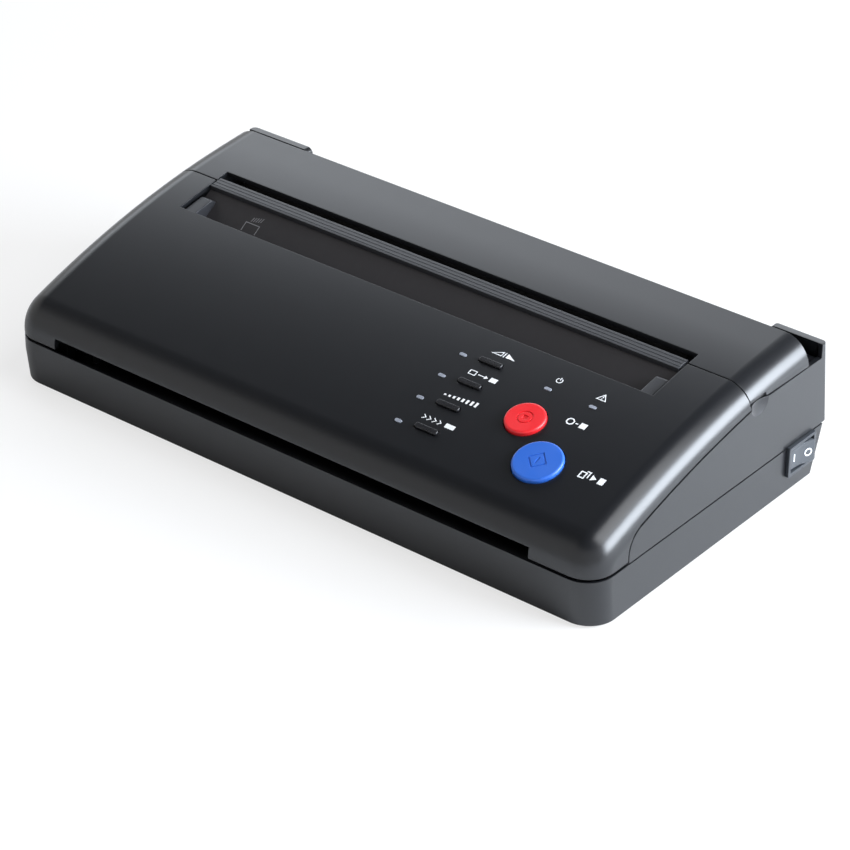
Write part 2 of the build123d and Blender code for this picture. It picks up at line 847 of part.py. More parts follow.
with BuildPart() as rear_lid:
    add(outer_form)
    add(inner_form, mode=Mode.SUBTRACT)
    add(block(-half_length - 1, half_length + 1, -1, lid_start, 0, 2 * ear_top), mode=Mode.SUBTRACT)
    add(
        block(-half_length - 1, half_length + 1, -1, depth + wall, 0, panel_top + side_gap),
        mode=Mode.SUBTRACT,
    )
    add(
        block(opening_left, opening_right, lid_start - 1, stencil_slot_rear_from_front, 0, 2 * ear_top),
        mode=Mode.SUBTRACT,
    )
    for side in (-1, 1):
        notch_low, notch_high = span(side * (half_length - notch_depth), side * (half_length + 1))
        add(
            block(
                notch_low,
                notch_high,
                lid_start - 1,
                lid_start + notch_length,
                0,
                panel_top + side_gap + notch_height,
            ),
            mode=Mode.SUBTRACT,
        )
        arm_low = side * lid_arm_x - lid_arm_thickness / 2
        arm_high = side * lid_arm_x + lid_arm_thickness / 2
        arm_front = lid_rear_from_front - 10.0
        add(rod(arm_low, arm_high, lid_axis, lid_eye_radius))
        add(
            block(
                arm_low,
                arm_high,
                arm_front,
                lid_axis_from_front,
                lid_axis_height - lid_arm_height / 2,
                lid_axis_height + lid_arm_height / 2,
            )
        )
        riser_top = top_height(arm_front) - wall + 0.6
        riser = plate_in_side_view(
            [
                (arm_front, lid_axis_height - lid_arm_height / 2),
                (arm_front + lid_arm_height, lid_axis_height - lid_arm_height / 2),
                (arm_front + lid_arm_height, riser_top),
                (arm_front, riser_top - 0.6),
            ],
            arm_low,
            arm_high,
        )
        add(riser & outer_form)
        add(
            rod(arm_low - 1, arm_high + 1, lid_axis, lid_pin_radius + bore_clearance),
            mode=Mode.SUBTRACT,
        )
    for bracket_x in (platen_bracket_left, platen_bracket_right):
        bracket_front = platen_from_front - platen_bracket_length / 2
        bracket_rear = platen_from_front + platen_bracket_length / 2
        bracket = plate_in_side_view(
            [
                (bracket_front, platen_height - platen_bracket_drop),
                (bracket_rear, platen_height - platen_bracket_drop),
                (bracket_rear, top_height(bracket_rear)),
                (bracket_front, top_height(bracket_front)),
            ],
            bracket_x,
            bracket_x + platen_bracket_width,
        )
        add(bracket & cover_form(wall - 0.5, lid_rear_from_front, cover_bottom))
        add(
            rod(bracket_x - 1, bracket_x + platen_bracket_width + 1, platen_centre, bush_radius),
            mode=Mode.SUBTRACT,
        )
rear_lid.part.label = "rear_lid"

# ---------------------------------------------------------------------------
# Document inlet on top: ridge, tray floor and side guides
# ---------------------------------------------------------------------------

ridge_rear_from_front = ridge_front_from_front + ridge_depth
ridge_left = opening_left + ridge_side_gap
ridge_right = opening_right - ridge_end_gap
ridge_base = top_height(ridge_front_from_front) - ridge_sink - ridge_height
tray_fall = tan(radians(tray_slope))


def tray_surface(from_front):
    """Height of the tray's floor at a distance from the front."""
    return ridge_base - (ridge_front_from_front - from_front) * tray_fall


with BuildPart() as exit_ridge:
    add(
        plate_in_side_view(
            [
                (ridge_front_from_front, ridge_base),
                (ridge_rear_from_front - ridge_skirt, ridge_base),
                (ridge_rear_from_front - ridge_skirt, ridge_skirt_bottom),
                (ridge_rear_from_front, ridge_skirt_bottom),
                (ridge_rear_from_front, top_height(ridge_rear_from_front) - ridge_sink),
                (ridge_front_from_front, top_height(ridge_front_from_front) - ridge_sink),
            ],
            ridge_left,
            ridge_right,
        )
    )
    top_edges = exit_ridge.edges().filter_by(Axis.X).group_by(Axis.Z)[-1]
    fillet(top_edges, 0.6)
    for index in range(ridge_line_count):
        line_from_front = ridge_front_from_front + 1.3 + index * ridge_line_pitch
        with Locations(panel_plane((ridge_left + ridge_right) / 2, line_from_front, -ridge_sink)):
            Box(2 * length, ridge_line_width, 2 * ridge_line_depth, mode=Mode.SUBTRACT)
exit_ridge.part.label = "exit_ridge"

with BuildPart() as document_tray:
    tray_rear = ridge_rear_from_front - ridge_skirt
    tray_profile = [
        (tray_rear, ridge_base),
        (ridge_front_from_front, ridge_base),
        (tray_end_from_front, tray_surface(tray_end_from_front)),
        (tray_end_from_front, tray_surface(tray_end_from_front) - tray_thickness),
        (ridge_front_from_front + 0.5, ridge_base - tray_thickness),
        (tray_rear, ridge_base - tray_thickness),
    ]
    add(plate_in_side_view(tray_profile, ridge_left, opening_right - ridge_side_gap))
    wing_profile = [
        (tray_wing_rear_from_front, tray_surface(tray_wing_rear_from_front)),
        (tray_end_from_front, tray_surface(tray_end_from_front)),
        (tray_end_from_front, tray_surface(tray_end_from_front) - tray_thickness),
        (tray_wing_rear_from_front, tray_surface(tray_wing_rear_from_front) - tray_thickness),
    ]
    add(plate_in_side_view(wing_profile, frame_left, frame_right))
document_tray.part.label = "document_tray"

with BuildPart() as document_guides:
    guide_profile = [
        (guide_front_from_front, tray_surface(guide_front_from_front)),
        (guide_rear_from_front, tray_surface(guide_rear_from_front)),
        (guide_crown_from_front, top_height(guide_crown_from_front) - guide_drop),
        (guide_front_from_front, top_height(guide_front_from_front) - guide_drop),
    ]
    for guide_x in (opening_left + guide_side_gap, opening_right - guide_side_gap - guide_width):
        add(plate_in_side_view(guide_profile, guide_x, guide_x + guide_width))
    fillet(document_guides.edges().filter_by(Axis.X).group_by(Axis.Z)[-1], 1.5)
document_guides.part.label = "document_guides"

# ---------------------------------------------------------------------------
# Control panel
# ---------------------------------------------------------------------------

board_front_top = top_height(board_front_from_front) - wall / cos(radians(front_slope)) - board_drop
board_rear_top = top_height(board_rear_from_front) - wall - board_drop
board_run = board_rear_from_front - board_front_from_front
board_slope = atan2(board_rear_top - board_front_top, board_run)
board_plane = Plane(
    origin=(0, y_at(board_front_from_front), board_front_top),
    x_dir=(1, 0, 0),
    z_dir=(0, -sin(board_slope), cos(board_slope)),
)


def on_board(x, from_front):
    """Place on the control board straight under a point of the panel."""
    local = board_plane.to_local_coords(panel_plane(x, from_front).origin)
    return (local.X, local.Y)


def round_button(x, from_front, diameter):
    """Push button: domed cap with a retaining flange under the panel."""
    with BuildPart(mode=Mode.PRIVATE) as button:
        flange_top = -wall - 0.5
        with BuildSketch(panel_plane(x, from_front, flange_top - button_flange)):
            Circle(diameter / 2 + 1.2)
        extrude(amount=button_flange)
        with BuildSketch(panel_plane(x, from_front, flange_top)):
            Circle(diameter / 2)
        extrude(amount=button_rise - flange_top)
        rim = button.edges().filter_by(GeomType.CIRCLE).sort_by(Axis.Z)[-1]
        fillet(rim, 1.0)
    return button.part


with BuildPart() as stop_button:
    add(round_button(stop_x, stop_from_front, stop_diameter))
    with BuildSketch(panel_plane(stop_x, stop_from_front, button_rise)):
        Circle(3.4)
        Circle(2.8, mode=Mode.SUBTRACT)
        Rectangle(2.2, 2.2)
    extrude(amount=-symbol_depth, mode=Mode.SUBTRACT)
stop_button.part.label = "stop_button"

with BuildPart() as copy_button:
    add(round_button(copy_x, copy_from_front, copy_diameter))
    with BuildSketch(panel_plane(copy_x, copy_from_front, button_rise)):
        Rectangle(6.4, 6.4, rotation=45)
        Rectangle(5.2, 5.2, rotation=45, mode=Mode.SUBTRACT)
        Rectangle(0.8, 3.2)
    extrude(amount=-symbol_depth, mode=Mode.SUBTRACT)
copy_button.part.label = "copy_button"


def mode_key(index):
    """Small oblong key with a flange under the panel."""
    from_front = first_key_from_front + index * key_pitch
    with BuildPart() as key:
        flange_top = -wall - clearance
        with BuildSketch(panel_plane(key_x, from_front, flange_top - button_flange)):
            RectangleRounded(key_length + 1.6, key_width + 1.6, 1.0)
        extrude(amount=button_flange)
        with BuildSketch(panel_plane(key_x, from_front, flange_top)):
            RectangleRounded(key_length, key_width, 0.9)
        extrude(amount=key_rise - flange_top)
        top_face = key.faces().sort_by(Axis.Z)[-1]
        fillet(top_face.edges(), 0.4)
    key.part.label = f"mode_key_{index + 1}"
    return key


mode_keys = [mode_key(index) for index in range(key_count)]
lamp_places = [
    (lamp_x, first_key_from_front + index * key_pitch - lamp_ahead_of_key) for index in range(key_count)
]
lamp_places = lamp_places + [(power_lamp_x, status_lamp_from_front), (error_lamp_x, status_lamp_from_front)]

with BuildPart() as indicator_lenses:
    for x, from_front in lamp_places:
        with BuildSketch(panel_plane(x, from_front, lamp_rise)):
            SlotOverall(lamp_length, lamp_width)
        extrude(amount=-(wall + lamp_rise + 0.8))
indicator_lenses.part.label = "indicator_lenses"

board_middle = (board_left + board_right) / 2
board_length = board_run / cos(board_slope)

with BuildPart() as control_board:
    with BuildSketch(board_plane):
        with Locations((board_middle, board_length / 2)):
            Rectangle(board_width, board_length)
    extrude(amount=-board_thickness)
    board_posts = [
        (board_left + 4, 5.0),
        (board_right - 4, 5.0),
        (board_left + 4, board_length - 5.0),
        (board_right - 4, board_length - 5.0),
    ]
    with BuildSketch(board_plane):
        with Locations(board_posts):
            Circle(screw_radius)
    extrude(amount=-board_thickness, mode=Mode.SUBTRACT)
control_board.part.label = "control_board"

with BuildPart(mode=Mode.PRIVATE) as panel_posts:
    with BuildSketch(board_plane):
        with Locations(board_posts):
            Circle(screw_radius + 1.5)
    extrude(amount=wall + board_drop + 2.0)
    with BuildSketch(board_plane.offset(-board_thickness)):
        with Locations(board_posts):
            Circle(screw_radius)
    extrude(amount=board_thickness)
post_limit = cover_form(wall - 0.4, lid_rear_from_front, cover_bottom)
front_cover.part = front_cover.part + (panel_posts.part & post_limit)
front_cover.part.label = "front_cover"

with BuildPart() as tact_switches:
    switch_places = [on_board(stop_x, stop_from_front), on_board(copy_x, copy_from_front)]
    for index in range(key_count):
        switch_places.append(on_board(key_x, first_key_from_front + index * key_pitch))
    with BuildSketch(board_plane):
        with Locations(switch_places):
            Rectangle(switch_side, switch_side)
    extrude(amount=switch_rise - 0.7)
    with BuildSketch(board_plane.offset(switch_rise - 0.7)):
        with Locations(switch_places):
            Circle(1.7)
    extrude(amount=0.7)
tact_switches.part.label = "tact_switches"

with BuildPart() as panel_lamps:
    with BuildSketch(board_plane):
        with Locations([on_board(x, from_front) for x, from_front in lamp_places]):
            Circle(lamp_chip_radius)
    extrude(amount=board_drop - 1.2)
panel_lamps.part.label = "panel_lamps"

# ---------------------------------------------------------------------------
# Power switch and power inlet
# ---------------------------------------------------------------------------

switch_front = switch_from_front - switch_bezel_length / 2
switch_rear = switch_from_front + switch_bezel_length / 2
switch_low = switch_height - switch_bezel_height / 2
switch_high = switch_height + switch_bezel_height / 2
body_inset = switch_bezel_lip + switch_body_gap
rocker_axis_x = half_length - rocker_axis_depth
rocker_reach = hypot(rocker_length / 2, rocker_crown)
rocker_angle = atan2(rocker_crown, rocker_length / 2) - radians(rocker_tilt)
cavity_half = rocker_reach * cos(rocker_angle) + clearance
rocker_room = rocker_root + rocker_length * sin(radians(rocker_tilt)) / 2 + clearance

with BuildPart() as switch_body:
    bezel_face = half_length + switch_bezel_rise
    add(block(half_length, bezel_face, switch_front, switch_rear, switch_low, switch_high))
    fillet(switch_body.edges().filter_by(Axis.X), 0.8)
    add(
        block(
            half_length - switch_body_depth,
            half_length,
            switch_front + body_inset,
            switch_rear - body_inset,
            switch_low + body_inset,
            switch_high - body_inset,
        )
    )
    add(
        block(
            rocker_axis_x - rocker_room,
            half_length + 2 * switch_bezel_rise,
            switch_from_front - cavity_half,
            switch_from_front + cavity_half,
            switch_height - rocker_height / 2 - clearance,
            switch_height + rocker_height / 2 + clearance,
        ),
        mode=Mode.SUBTRACT,
    )
    with Locations((rocker_axis_x, y_at(switch_from_front), switch_height)):
        Cylinder(rocker_pin_radius + bore_clearance, switch_bezel_height, mode=Mode.SUBTRACT)
switch_body.part.label = "switch_body"

rocker_place = Location((rocker_axis_x, y_at(switch_from_front), 0), (0, 0, -rocker_tilt))
with BuildPart() as rocker_form:
    with BuildSketch(Plane.XY.offset(switch_height - rocker_height / 2)):
        with BuildLine():
            Polyline(
                (-rocker_root, -rocker_length / 3),
                (rocker_crown, -rocker_length / 2),
                (rocker_crown - rocker_dish, 0),
                (rocker_crown, rocker_length / 2),
                (-rocker_root, rocker_length / 3),
                close=True,
            )
        make_face()
    extrude(amount=rocker_height)
    with Locations((0, 0, switch_height)):
        Cylinder(rocker_pin_radius, rocker_height + 2 * (clearance + rocker_pin_reach))

with BuildPart() as switch_rocker:
    add(rocker_form.part.moved(rocker_place))
switch_rocker.part.label = "switch_rocker"

inlet_left = inlet_x - inlet_width / 2
inlet_right = inlet_x + inlet_width / 2
inlet_floor = depth + inlet_face_thickness - inlet_cavity_depth

with BuildPart() as inlet_socket:
    add(
        block(
            inlet_left - inlet_margin,
            inlet_right + inlet_margin,
            depth,
            depth + inlet_face_thickness,
            inlet_height - inlet_rise / 2 - inlet_margin / 2,
            inlet_height + inlet_rise / 2 + inlet_margin / 2,
        )
    )
    fillet(inlet_socket.edges().filter_by(Axis.Y), 1.5)
    add(
        block(
            inlet_left,
            inlet_right,
            depth - inlet_depth,
            depth,
            inlet_height - inlet_rise / 2,
            inlet_height + inlet_rise / 2,
        )
    )
    with BuildSketch(Plane.XZ.offset(-y_at(depth + inlet_face_thickness))):
        with Locations((inlet_x, inlet_height)):
            mouth = Rectangle(inlet_width - 2 * inlet_shell, inlet_rise - 2 * inlet_shell)
        chamfer(mouth.vertices().group_by(Axis.Y)[-1], 4.0)
    extrude(amount=inlet_cavity_depth, mode=Mode.SUBTRACT)
inlet_socket.part.label = "inlet_socket"

with BuildPart() as inlet_pins:
    for pin_x, pin_z in (
        (-inlet_pin_spread, -inlet_pin_step),
        (inlet_pin_spread, -inlet_pin_step),
        (0.0, inlet_pin_step),
    ):
        add(
            block(
                inlet_x + pin_x - 1.0,
                inlet_x + pin_x + 1.0,
                inlet_floor,
                inlet_floor + inlet_pin_length,
                inlet_height + pin_z - 2.0,
                inlet_height + pin_z + 2.0,
            )
        )
inlet_pins.part.label = "inlet_pins"

# ---------------------------------------------------------------------------
# Side frames, rollers and gear train
# ---------------------------------------------------------------------------

frame_shelf = stencil_guide_top - guide_sheet
frame_outline = [
    (frame_front_from_front, inner_floor),
    (frame_rear_from_front, inner_floor),
    (frame_rear_from_front, frame_shelf),
    (frame_rear_from_front - 8.0, frame_shelf),
    (108.0, 46.0),
    (100.0, 52.0),
    (88.0, 52.0),
    (70.0, 46.0),
    (frame_front_from_front, 36.0),
]


def side_frame(x_low, x_high):
    """Plate with seats for the shaft bushes."""
    plate = plate_in_side_view(frame_outline, x_low, x_high)
    for centre in (feed_centre, pressure_centre):
        plate = plate - rod(x_low - 1, x_high + 1, centre, bush_radius)
    return plate


with BuildPart() as left_frame:
    add(side_frame(frame_left - frame_thickness, frame_left))
left_frame.part.label = "left_frame"

motor_shaft_radius = 1.5
with BuildPart() as right_frame:
    add(side_frame(frame_right, frame_right + frame_thickness))
    add(rod(frame_right - 1, frame_right + 4, motor_centre, 2 * motor_shaft_radius), mode=Mode.SUBTRACT)
right_frame.part.label = "right_frame"


def bush(x_low, x_high, centre):
    """Plain bearing ring around a shaft."""
    return rod(x_low, x_high, centre, bush_radius) - rod(
        x_low - 1, x_high + 1, centre, shaft_radius + bore_clearance
    )


with BuildPart() as roller_bushes:
    for centre in (feed_centre, pressure_centre):
        add(bush(frame_left - frame_thickness, frame_left + bush_collar_thickness, centre))
        add(bush(frame_right - bush_collar_thickness, frame_right + frame_thickness, centre))
roller_bushes.part.label = "roller_bushes"

shaft_left = frame_left - frame_thickness - 1.5
feed_gear_end = first_gear_x + gear_face

with BuildPart() as feed_shaft:
    add(rod(shaft_left, feed_gear_end, feed_centre, shaft_radius))
feed_shaft.part.label = "feed_shaft"

path_middle = (path_left + path_right) / 2
sleeve_spacing = (path_right - path_left) / 3

with BuildPart() as feed_roller:
    for index in (-1, 0, 1):
        sleeve_x = path_middle + index * sleeve_spacing
        sleeve = rod(sleeve_x - sleeve_length / 2, sleeve_x + sleeve_length / 2, feed_centre, feed_radius)
        add(sleeve - rod(path_left, path_right, feed_centre, shaft_radius))
feed_roller.part.label = "feed_roller"

with BuildPart() as feed_gear:
    add(placed(gear_blank(feed_teeth, first_gear_x, gear_face, shaft_radius), feed_centre))
feed_gear.part.label = "feed_gear"

with BuildPart() as pressure_shaft:
    add(rod(shaft_left, feed_gear_end, pressure_centre, shaft_radius))
pressure_shaft.part.label = "pressure_shaft"

with BuildPart() as pressure_roller:
    pressure_sleeve = rod(path_left, path_right, pressure_centre, pressure_radius)
    add(pressure_sleeve - rod(path_left - 1, path_right + 1, pressure_centre, shaft_radius))
pressure_roller.part.label = "pressure_roller"

with BuildPart() as pressure_gear:
    add(placed(gear_blank(pressure_teeth, first_gear_x, gear_face, shaft_radius), pressure_centre))
pressure_gear.part.label = "pressure_gear"

with BuildPart() as feed_motor:
    add(rod(frame_right - motor_length, frame_right, motor_centre, motor_radius))
    motor_edges = feed_motor.edges().filter_by(GeomType.CIRCLE)
    fillet(motor_edges, 1.0)
    motor_bore = motor_shaft_radius + bore_clearance
    add(rod(frame_right - 8.0, frame_right + 1, motor_centre, motor_bore), mode=Mode.SUBTRACT)
feed_motor.part.label = "feed_motor"

with BuildPart() as motor_pinion:
    add(placed(gear_blank(motor_teeth, first_gear_x, gear_face, motor_shaft_radius), motor_centre))
    add(rod(frame_right - 7.5, feed_gear_end + 0.2, motor_centre, motor_shaft_radius))
motor_pinion.part.label = "motor_pinion"

post_bore = motor_shaft_radius + bore_clearance

with BuildPart() as first_idler:
    add(placed(gear_blank(first_idler_teeth, first_gear_x, gear_face, post_bore), first_idler_centre))
first_idler.part.label = "first_idler"

with BuildPart() as second_idler:
    large_gear = gear_blank(second_idler_teeth, first_gear_x, gear_face, post_bore)
    small_gear = gear_blank(second_idler_small_teeth, second_gear_x, gear_face, post_bore)
    hub = rod(feed_gear_end - 0.5, second_gear_x + 0.5, (depth / 2, 0), 4.0)
    hub = hub - rod(feed_gear_end - 1, second_gear_x + 1, (depth / 2, 0), post_bore)
    add(placed(large_gear, second_idler_centre))
    add(placed(small_gear, second_idler_centre))
    add(placed(hub, second_idler_centre))
second_idler.part.label = "second_idler"

with BuildPart() as third_idler:
    add(placed(gear_blank(third_idler_teeth, second_gear_x, gear_face, post_bore), third_idler_centre))
third_idler.part.label = "third_idler"

with BuildPart() as gear_posts:
    for centre, gear_end in (
        (first_idler_centre, feed_gear_end),
        (second_idler_centre, second_gear_x + gear_face),
        (third_idler_centre, second_gear_x + gear_face),
    ):
        frame_face = frame_right + frame_thickness
        add(rod(frame_face, gear_end + clearance, centre, motor_shaft_radius))
        add(rod(gear_end + clearance, gear_end + clearance + 0.8, centre, 2 * motor_shaft_radius))
    shoulder_end = second_gear_x - clearance
    add(rod(frame_face, shoulder_end, third_idler_centre, 2 * motor_shaft_radius))
gear_posts.part.label = "gear_posts"

# ---------------------------------------------------------------------------
# Platen roller in the lid
# ---------------------------------------------------------------------------

platen_gear_end = second_gear_x + gear_face

with BuildPart() as platen_shaft:
    add(rod(platen_bracket_left - 1.5, platen_gear_end, platen_centre, shaft_radius))
platen_shaft.part.label = "platen_shaft"

with BuildPart() as platen_roller:
    platen_left = platen_bracket_left + platen_bracket_width + roller_end_gap
    platen_right = platen_bracket_right - roller_end_gap
    platen_sleeve = rod(platen_left, platen_right, platen_centre, platen_radius)
    add(platen_sleeve - rod(platen_left - 1, platen_right + 1, platen_centre, shaft_radius))
platen_roller.part.label = "platen_roller"

with BuildPart() as platen_gear:
    add(placed(gear_blank(platen_teeth, second_gear_x, gear_face, shaft_radius), platen_centre))
platen_gear.part.label = "platen_gear"

with BuildPart() as platen_bushes:
    for bracket_x in (platen_bracket_left, platen_bracket_right):
        add(bush(bracket_x, bracket_x + platen_bracket_width, platen_centre))
platen_bushes.part.label = "platen_bushes"

# ---------------------------------------------------------------------------
# Scanner, paper guides and thermal head
# ---------------------------------------------------------------------------

scanner_front = pressure_centre[0] - scanner_depth / 2
scanner_rear = pressure_centre[0] + scanner_depth / 2
scanner_top = glass_top - glass_thickness
scanner_base = scanner_top - scanner_height

with BuildPart() as scanner_carrier:
    add(
        block(
            frame_left,
            frame_right,
            scanner_front - 1.5,
            scanner_rear + 1.5,
            scanner_base - bracket_thickness,
            scanner_base,
        )
    )
    for lip_front in (scanner_front - 1.5, scanner_rear + clearance):
        add(block(path_left, path_right, lip_front, lip_front + 1.2, scanner_base, scanner_base + 3.0))
scanner_carrier.part.label = "scanner_carrier"

with BuildPart() as scanner_bar:
    add(block(path_left, path_right, scanner_front, scanner_rear, scanner_base, scanner_top))
    fillet(scanner_bar.edges().filter_by(Axis.X).group_by(Axis.Z)[-1], 1.0)
scanner_bar.part.label = "scanner_bar"

with BuildPart() as scanner_glass:
    add(
        block(
            path_left + 2,
            path_right - 2,
            scanner_front + 2,
            scanner_rear - 2,
            scanner_top,
            glass_top,
        )
    )
scanner_glass.part.label = "scanner_glass"

exit_rear = scanner_front - 1.0
exit_front = post_front - 0.5
exit_rise = 1.2

with BuildPart() as exit_guide:
    add(
        bent_sheet(
            [(exit_front, seam_height + exit_rise), (exit_rear, glass_top - 1.0)],
            guide_sheet,
            path_left - 2,
            path_right + 2,
        )
    )
    add(
        bent_sheet(
            [
                (frame_front_from_front + 0.5, seam_height + exit_rise + 0.9),
                (exit_rear, glass_top - 1.0),
            ],
            guide_sheet,
            frame_left,
            frame_right,
        )
    )
exit_guide.part.label = "exit_guide"

pad_bottom = feed_height + feed_radius + clearance
guide_flat = pad_bottom + 1.6 + guide_sheet / 2
guide_rib = 2.0

guide_top = top_height(lip_from_front) - wall - guide_sheet
guide_end = lip_from_front - 1.0
guide_bend = 66.0
guide_bend_height = guide_flat + 1.6


def upper_guide_height(from_front):
    """Height of the guide's steep part at a distance from the front."""
    share = (from_front - guide_bend) / (guide_end - guide_bend)
    return guide_bend_height + share * (guide_top - guide_bend_height)


with BuildPart() as upper_guide:
    upper_line = [
        (guide_end, guide_top),
        (guide_bend, guide_bend_height),
        (guide_bend - 3.0, guide_flat),
        (52.0, guide_flat),
    ]
    add(bent_sheet(upper_line, guide_sheet, path_left, path_right) & inner_form)
    for rib_x, rib_front in (
        (path_left, guide_bend),
        (path_left + 60.0, guide_bend),
        (path_right - 92.0, guide_bend),
        (path_right - guide_rib, board_rear_from_front + 2.0),
    ):
        rib = plate_in_side_view(
            [
                (guide_end, guide_top),
                (rib_front, upper_guide_height(rib_front)),
                (rib_front, top_height(rib_front)),
                (guide_end, top_height(guide_end)),
            ],
            rib_x,
            rib_x + guide_rib,
        )
        add(rib & inner_form)
upper_guide.part.label = "upper_guide"

with BuildPart() as separation_pad:
    add(
        block(
            path_middle - 12.0,
            path_middle + 12.0,
            feed_from_front - 5.0,
            feed_from_front + 2.5,
            pad_bottom,
            guide_flat - guide_sheet / 2,
        )
    )
separation_pad.part.label = "separation_pad"

sink_top = head_top - head_thickness
sink_base = sink_top - sink_height

with BuildPart() as thermal_head:
    add(
        block(
            path_left,
            path_right,
            platen_from_front - head_depth / 2,
            platen_from_front + head_depth / 2,
            sink_top,
            head_top,
        )
    )
thermal_head.part.label = "thermal_head"

with BuildPart() as head_heatsink:
    sink_front = platen_from_front - sink_depth / 2
    add(
        block(path_left - 2, path_right + 2, sink_front, sink_front + sink_depth, sink_base, sink_top)
    )
    for groove_front in (2.0, 5.0, 13.5, 16.5):
        add(
            block(
                path_left - 3,
                path_right + 3,
                sink_front + groove_front,
                sink_front + groove_front + 1.5,
                sink_base - 1.0,
                sink_base + 6.0,
            ),
            mode=Mode.SUBTRACT,
        )
head_heatsink.part.label = "head_heatsink"

spring_places = [path_middle + index * spring_spacing for index in (-1, 0, 1)]

with BuildPart() as head_bracket:
    add(
        block(
            frame_left,
            frame_right,
            sink_front - 1.0,
            sink_front + sink_depth + 1.0,
            bracket_top - bracket_thickness,
            bracket_top,
        )
    )
    for spring_x in spring_places:
        with Locations((spring_x, y_at(platen_from_front), bracket_top)):
            Cylinder(spring_radius - spring_wire - clearance, 4.0)
head_bracket.part.label = "head_bracket"

spring_pitch = (sink_base - bracket_top - spring_wire) / spring_turns
with BuildPart() as head_springs:
    for spring_x in spring_places:
        spring_foot = (spring_x, y_at(platen_from_front), bracket_top + spring_wire / 2)
        coil_radius = spring_radius - spring_wire / 2
        with BuildLine():
            coil = Helix(spring_pitch, spring_pitch * spring_turns, coil_radius, center=spring_foot)
        with BuildSketch(Plane(origin=coil @ 0, z_dir=coil % 0)):
            Circle(spring_wire / 2)
        sweep(path=coil)
head_springs.part.label = "head_springs"

with BuildPart() as stencil_guide:
    add(
        block(
            frame_left - frame_thickness,
            frame_right + frame_thickness,
            platen_from_front + sink_depth / 2 + 1.0,
            rear_face_at(stencil_guide_top) - wall,
            stencil_guide_top - guide_sheet,
            stencil_guide_top,
        )
    )
stencil_guide.part.label = "stencil_guide"

# ---------------------------------------------------------------------------
# Pins, feet, screws and boards
# ---------------------------------------------------------------------------

with BuildPart() as lid_hinge_pins:
    for side in (-1, 1):
        pin = span(side * (lid_arm_x - lid_arm_thickness / 2 - 0.6), side * (half_length - wall))
        add(rod(pin[0], pin[1], lid_axis, lid_pin_radius))
lid_hinge_pins.part.label = "lid_hinge_pins"

with BuildPart() as cover_hinge_pins:
    pin_half = knuckle_width / 2 + lug_gap + lug_width
    for side in (-1, 1):
        pin_centre = side * knuckle_x
        add(rod(pin_centre - pin_half, pin_centre + pin_half, cover_axis, cover_pin_radius))
cover_hinge_pins.part.label = "cover_hinge_pins"

foot_places = [
    (side * (half_length - foot_inset_x), y_at(from_front))
    for side in (-1, 1)
    for from_front in (foot_inset_y, base_rear_bottom_from_front - foot_inset_y)
]
with BuildPart() as rubber_feet:
    with BuildSketch(Plane.XY):
        with Locations(foot_places):
            Circle(foot_radius)
    extrude(amount=foot_height)
    chamfer(rubber_feet.edges().group_by(Axis.Z)[0], 0.4)
rubber_feet.part.label = "rubber_feet"

with BuildPart() as case_screws:
    shank_foot = foot_height + screw_head_height + clearance
    for x, from_front in screw_posts:
        with Locations((x, y_at(from_front), shank_foot)):
            Cylinder(screw_radius, screw_length, align=(Align.CENTER, Align.CENTER, Align.MIN))
            Cylinder(screw_head_radius, screw_head_height, align=(Align.CENTER, Align.CENTER, Align.MAX))
        with Locations((x, y_at(from_front), foot_height + clearance)):
            Box(4.0, 0.8, 1.6, mode=Mode.SUBTRACT)
            Box(0.8, 4.0, 1.6, mode=Mode.SUBTRACT)
case_screws.part.label = "case_screws"

power_left = frame_left + power_board_left_inset
power_rear = depth - power_board_rear_inset
power_front = power_rear - power_board_depth
main_left = power_left + power_board_width + board_gap
main_right = path_right - main_board_right_inset
main_rear = depth - main_board_rear_inset
main_front = main_rear - main_board_depth
main_board_box = (main_left, main_right, main_front, main_rear)
power_board_box = (power_left, power_left + power_board_width, power_front, power_rear)
board_base = board_base_height
board_top = board_base + board_thickness


def standoff_places(box):
    """Corners of a board, set in by its screw margin."""
    x_low, x_high, front, rear = box
    return [(x, y_at(y)) for x in (x_low + 4, x_high - 4) for y in (front + 4, rear - 4)]


with BuildPart() as main_board:
    add(block(*main_board_box, board_base, board_top))
    for x_low, x_high, front, rear, rise in (
        (main_left + 36.0, main_left + 50.0, main_front + 10.0, main_front + 24.0, 2.0),
        (main_left + 76.0, main_left + 88.0, main_front + 12.0, main_front + 22.0, 1.6),
        (main_left + 6.0, main_left + 56.0, main_front + 4.0, main_front + 8.0, 5.0),
        (main_right - 30.0, main_right - 6.0, main_rear - 10.0, main_rear - 4.0, 6.0),
    ):
        add(block(x_low, x_high, front, rear, board_top, board_top + rise))
main_board.part.label = "main_board"

with BuildPart() as power_board:
    add(block(*power_board_box, board_base, board_top))
    for along, back, radius, height in (
        (14.0, 16.0, 7.0, 20.0),
        (62.0, 10.0, 5.0, 14.0),
        (62.0, 64.0, 5.0, 14.0),
    ):
        with Locations((power_left + along, y_at(power_front + back), board_top)):
            Cylinder(radius, height, align=(Align.CENTER, Align.CENTER, Align.MIN))
    fin_left = power_left + 6.0
    fin_front = power_front + 54.0
    add(block(fin_left, fin_left + 20.0, fin_front, fin_front + 3.0, board_top, board_top + 16.0))
power_board.part.label = "power_board"

with BuildPart() as transformer:
    core_left = power_left + 28.0
    core_front = power_front + 26.0
    core_right = core_left + 28.0
    core_rear = core_front + 22.0
    add(block(core_left, core_right, core_front, core_rear, board_top, board_top + 4.0))
    add(block(core_left + 2, core_right - 2, core_front - 2, core_rear + 2, board_top + 4, board_top + 15))
    add(block(core_left, core_right, core_front, core_rear, board_top + 15.0, board_top + 19.0))
transformer.part.label = "transformer"

